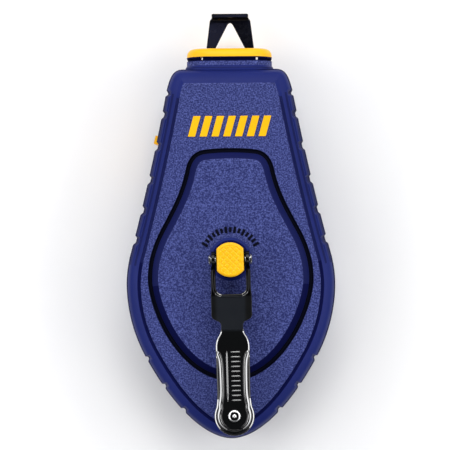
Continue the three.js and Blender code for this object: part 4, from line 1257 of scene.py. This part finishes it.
# ---- carried-over CAD nodes
CAD_LOOKS = {
    "spool_axle": "steel", "spool_washer": "brass", "ring_gear": "gear_plastic", "shaft_seal": "felt",
    "fill_door_seal": "rubber", "spool": "gear_plastic", "sun_gear": "gear_plastic", "shaft_clip": "steel",
    "planet_carrier": "gear_plastic", "planet_gear_1": "gear_plastic", "planet_gear_2": "gear_plastic",
    "planet_gear_3": "gear_plastic", "planet_pin_1": "steel", "planet_pin_2": "steel",
    "planet_pin_3": "steel", "release_stem": "steel", "clutch_plate": "steel",
}


def dress_cad_nodes():
    for name, look in CAD_LOOKS.items():
        obj = frame["nodes"][name]
        obj.data.materials.clear()
        obj.data.materials.append(MATERIALS[look])
        bevelled(obj, 0.12, 2, 40)


dress_cad_nodes()


# ---- floor and light
def make_floor():
    n = Nodes("floor")
    tint = n.mix(n.drift(60, 0, 1, 3), (0.93, 0.93, 0.94), (0.96, 0.96, 0.96))
    n.finish(tint, 0.85, n.bump(n.noise(1.2), 0.01))
    mesh = bpy.data.meshes.new("floor")
    half, low = 3.0, -0.0003
    corners = [(-half, -half, low), (half, -half, low), (half, half, low), (-half, half, low)]
    mesh.from_pydata(corners, [], [(0, 1, 2, 3)])
    mesh.materials.append(n.material)
    placed("floor", mesh)


def softbox(name, place, size, power):
    """A rectangular light in metres and watts, turned to the middle of the case."""
    data = bpy.data.lights.new(name, "AREA")
    data.shape = "RECTANGLE"
    data.size, data.size_y = size
    data.energy = power
    light = bpy.data.objects.new(name, data)
    light.location = place
    light.rotation_mode = "QUATERNION"
    light.rotation_quaternion = (Vector((0, 0, 0.02)) - Vector(place)).to_track_quat("-Z", "Y")
    bpy.context.scene.collection.objects.link(light)


SKY = [  # (height on the sky, brightness): a bright band half way up, dim overhead
    (0.0, 0.1), (0.42, 0.1), (0.48, 1.0), (0.62, 1.0), (0.68, 0.04), (1.0, 0.008),
]
SKY_STRENGTH_BY_Y = {"From Min": -0.75, "From Max": -0.4, "To Min": 0.25, "To Max": 3.5}  # dimmer towards -Y


def make_world():
    world = bpy.data.worlds.new("studio")
    bpy.context.scene.world = world
    world.use_nodes = True
    tree = world.node_tree
    place = add_node(tree, "ShaderNodeTexCoord")
    split = add_node(tree, "ShaderNodeSeparateXYZ", {0: place.outputs["Generated"]}).outputs
    ramp = add_node(tree, "ShaderNodeValToRGB", {"Fac": split["Z"]})
    stops = ramp.color_ramp.elements
    for height, _ in SKY[1:-1]:
        stops.new(height)
    for stop, (height, brightness) in zip(sorted(stops, key=lambda e: e.position), SKY):
        stop.position = height
        stop.color = (brightness, brightness, brightness * 1.02, 1)
    strength = add_node(tree, "ShaderNodeMapRange", {"Value": split["Y"], **SKY_STRENGTH_BY_Y})
    background = tree.nodes["Background"].inputs
    feed(tree, ramp.outputs["Color"], background["Color"])
    feed(tree, strength.outputs["Result"], background["Strength"])


make_floor()
make_world()
softbox("key_back", (0.05, 0.72, 1.05), (0.7, 0.5), 4.6)
softbox("key_left", (-0.7, 0, 1.05), (0.5, 0.7), 2.2)
softbox("key_right", (0.7, 0, 1.05), (0.5, 0.7), 2.2)
softbox("key_near", (0, -0.6, 1.15), (0.7, 0.5), 1.6)
bpy.context.scene.view_settings.view_transform = "Standard"
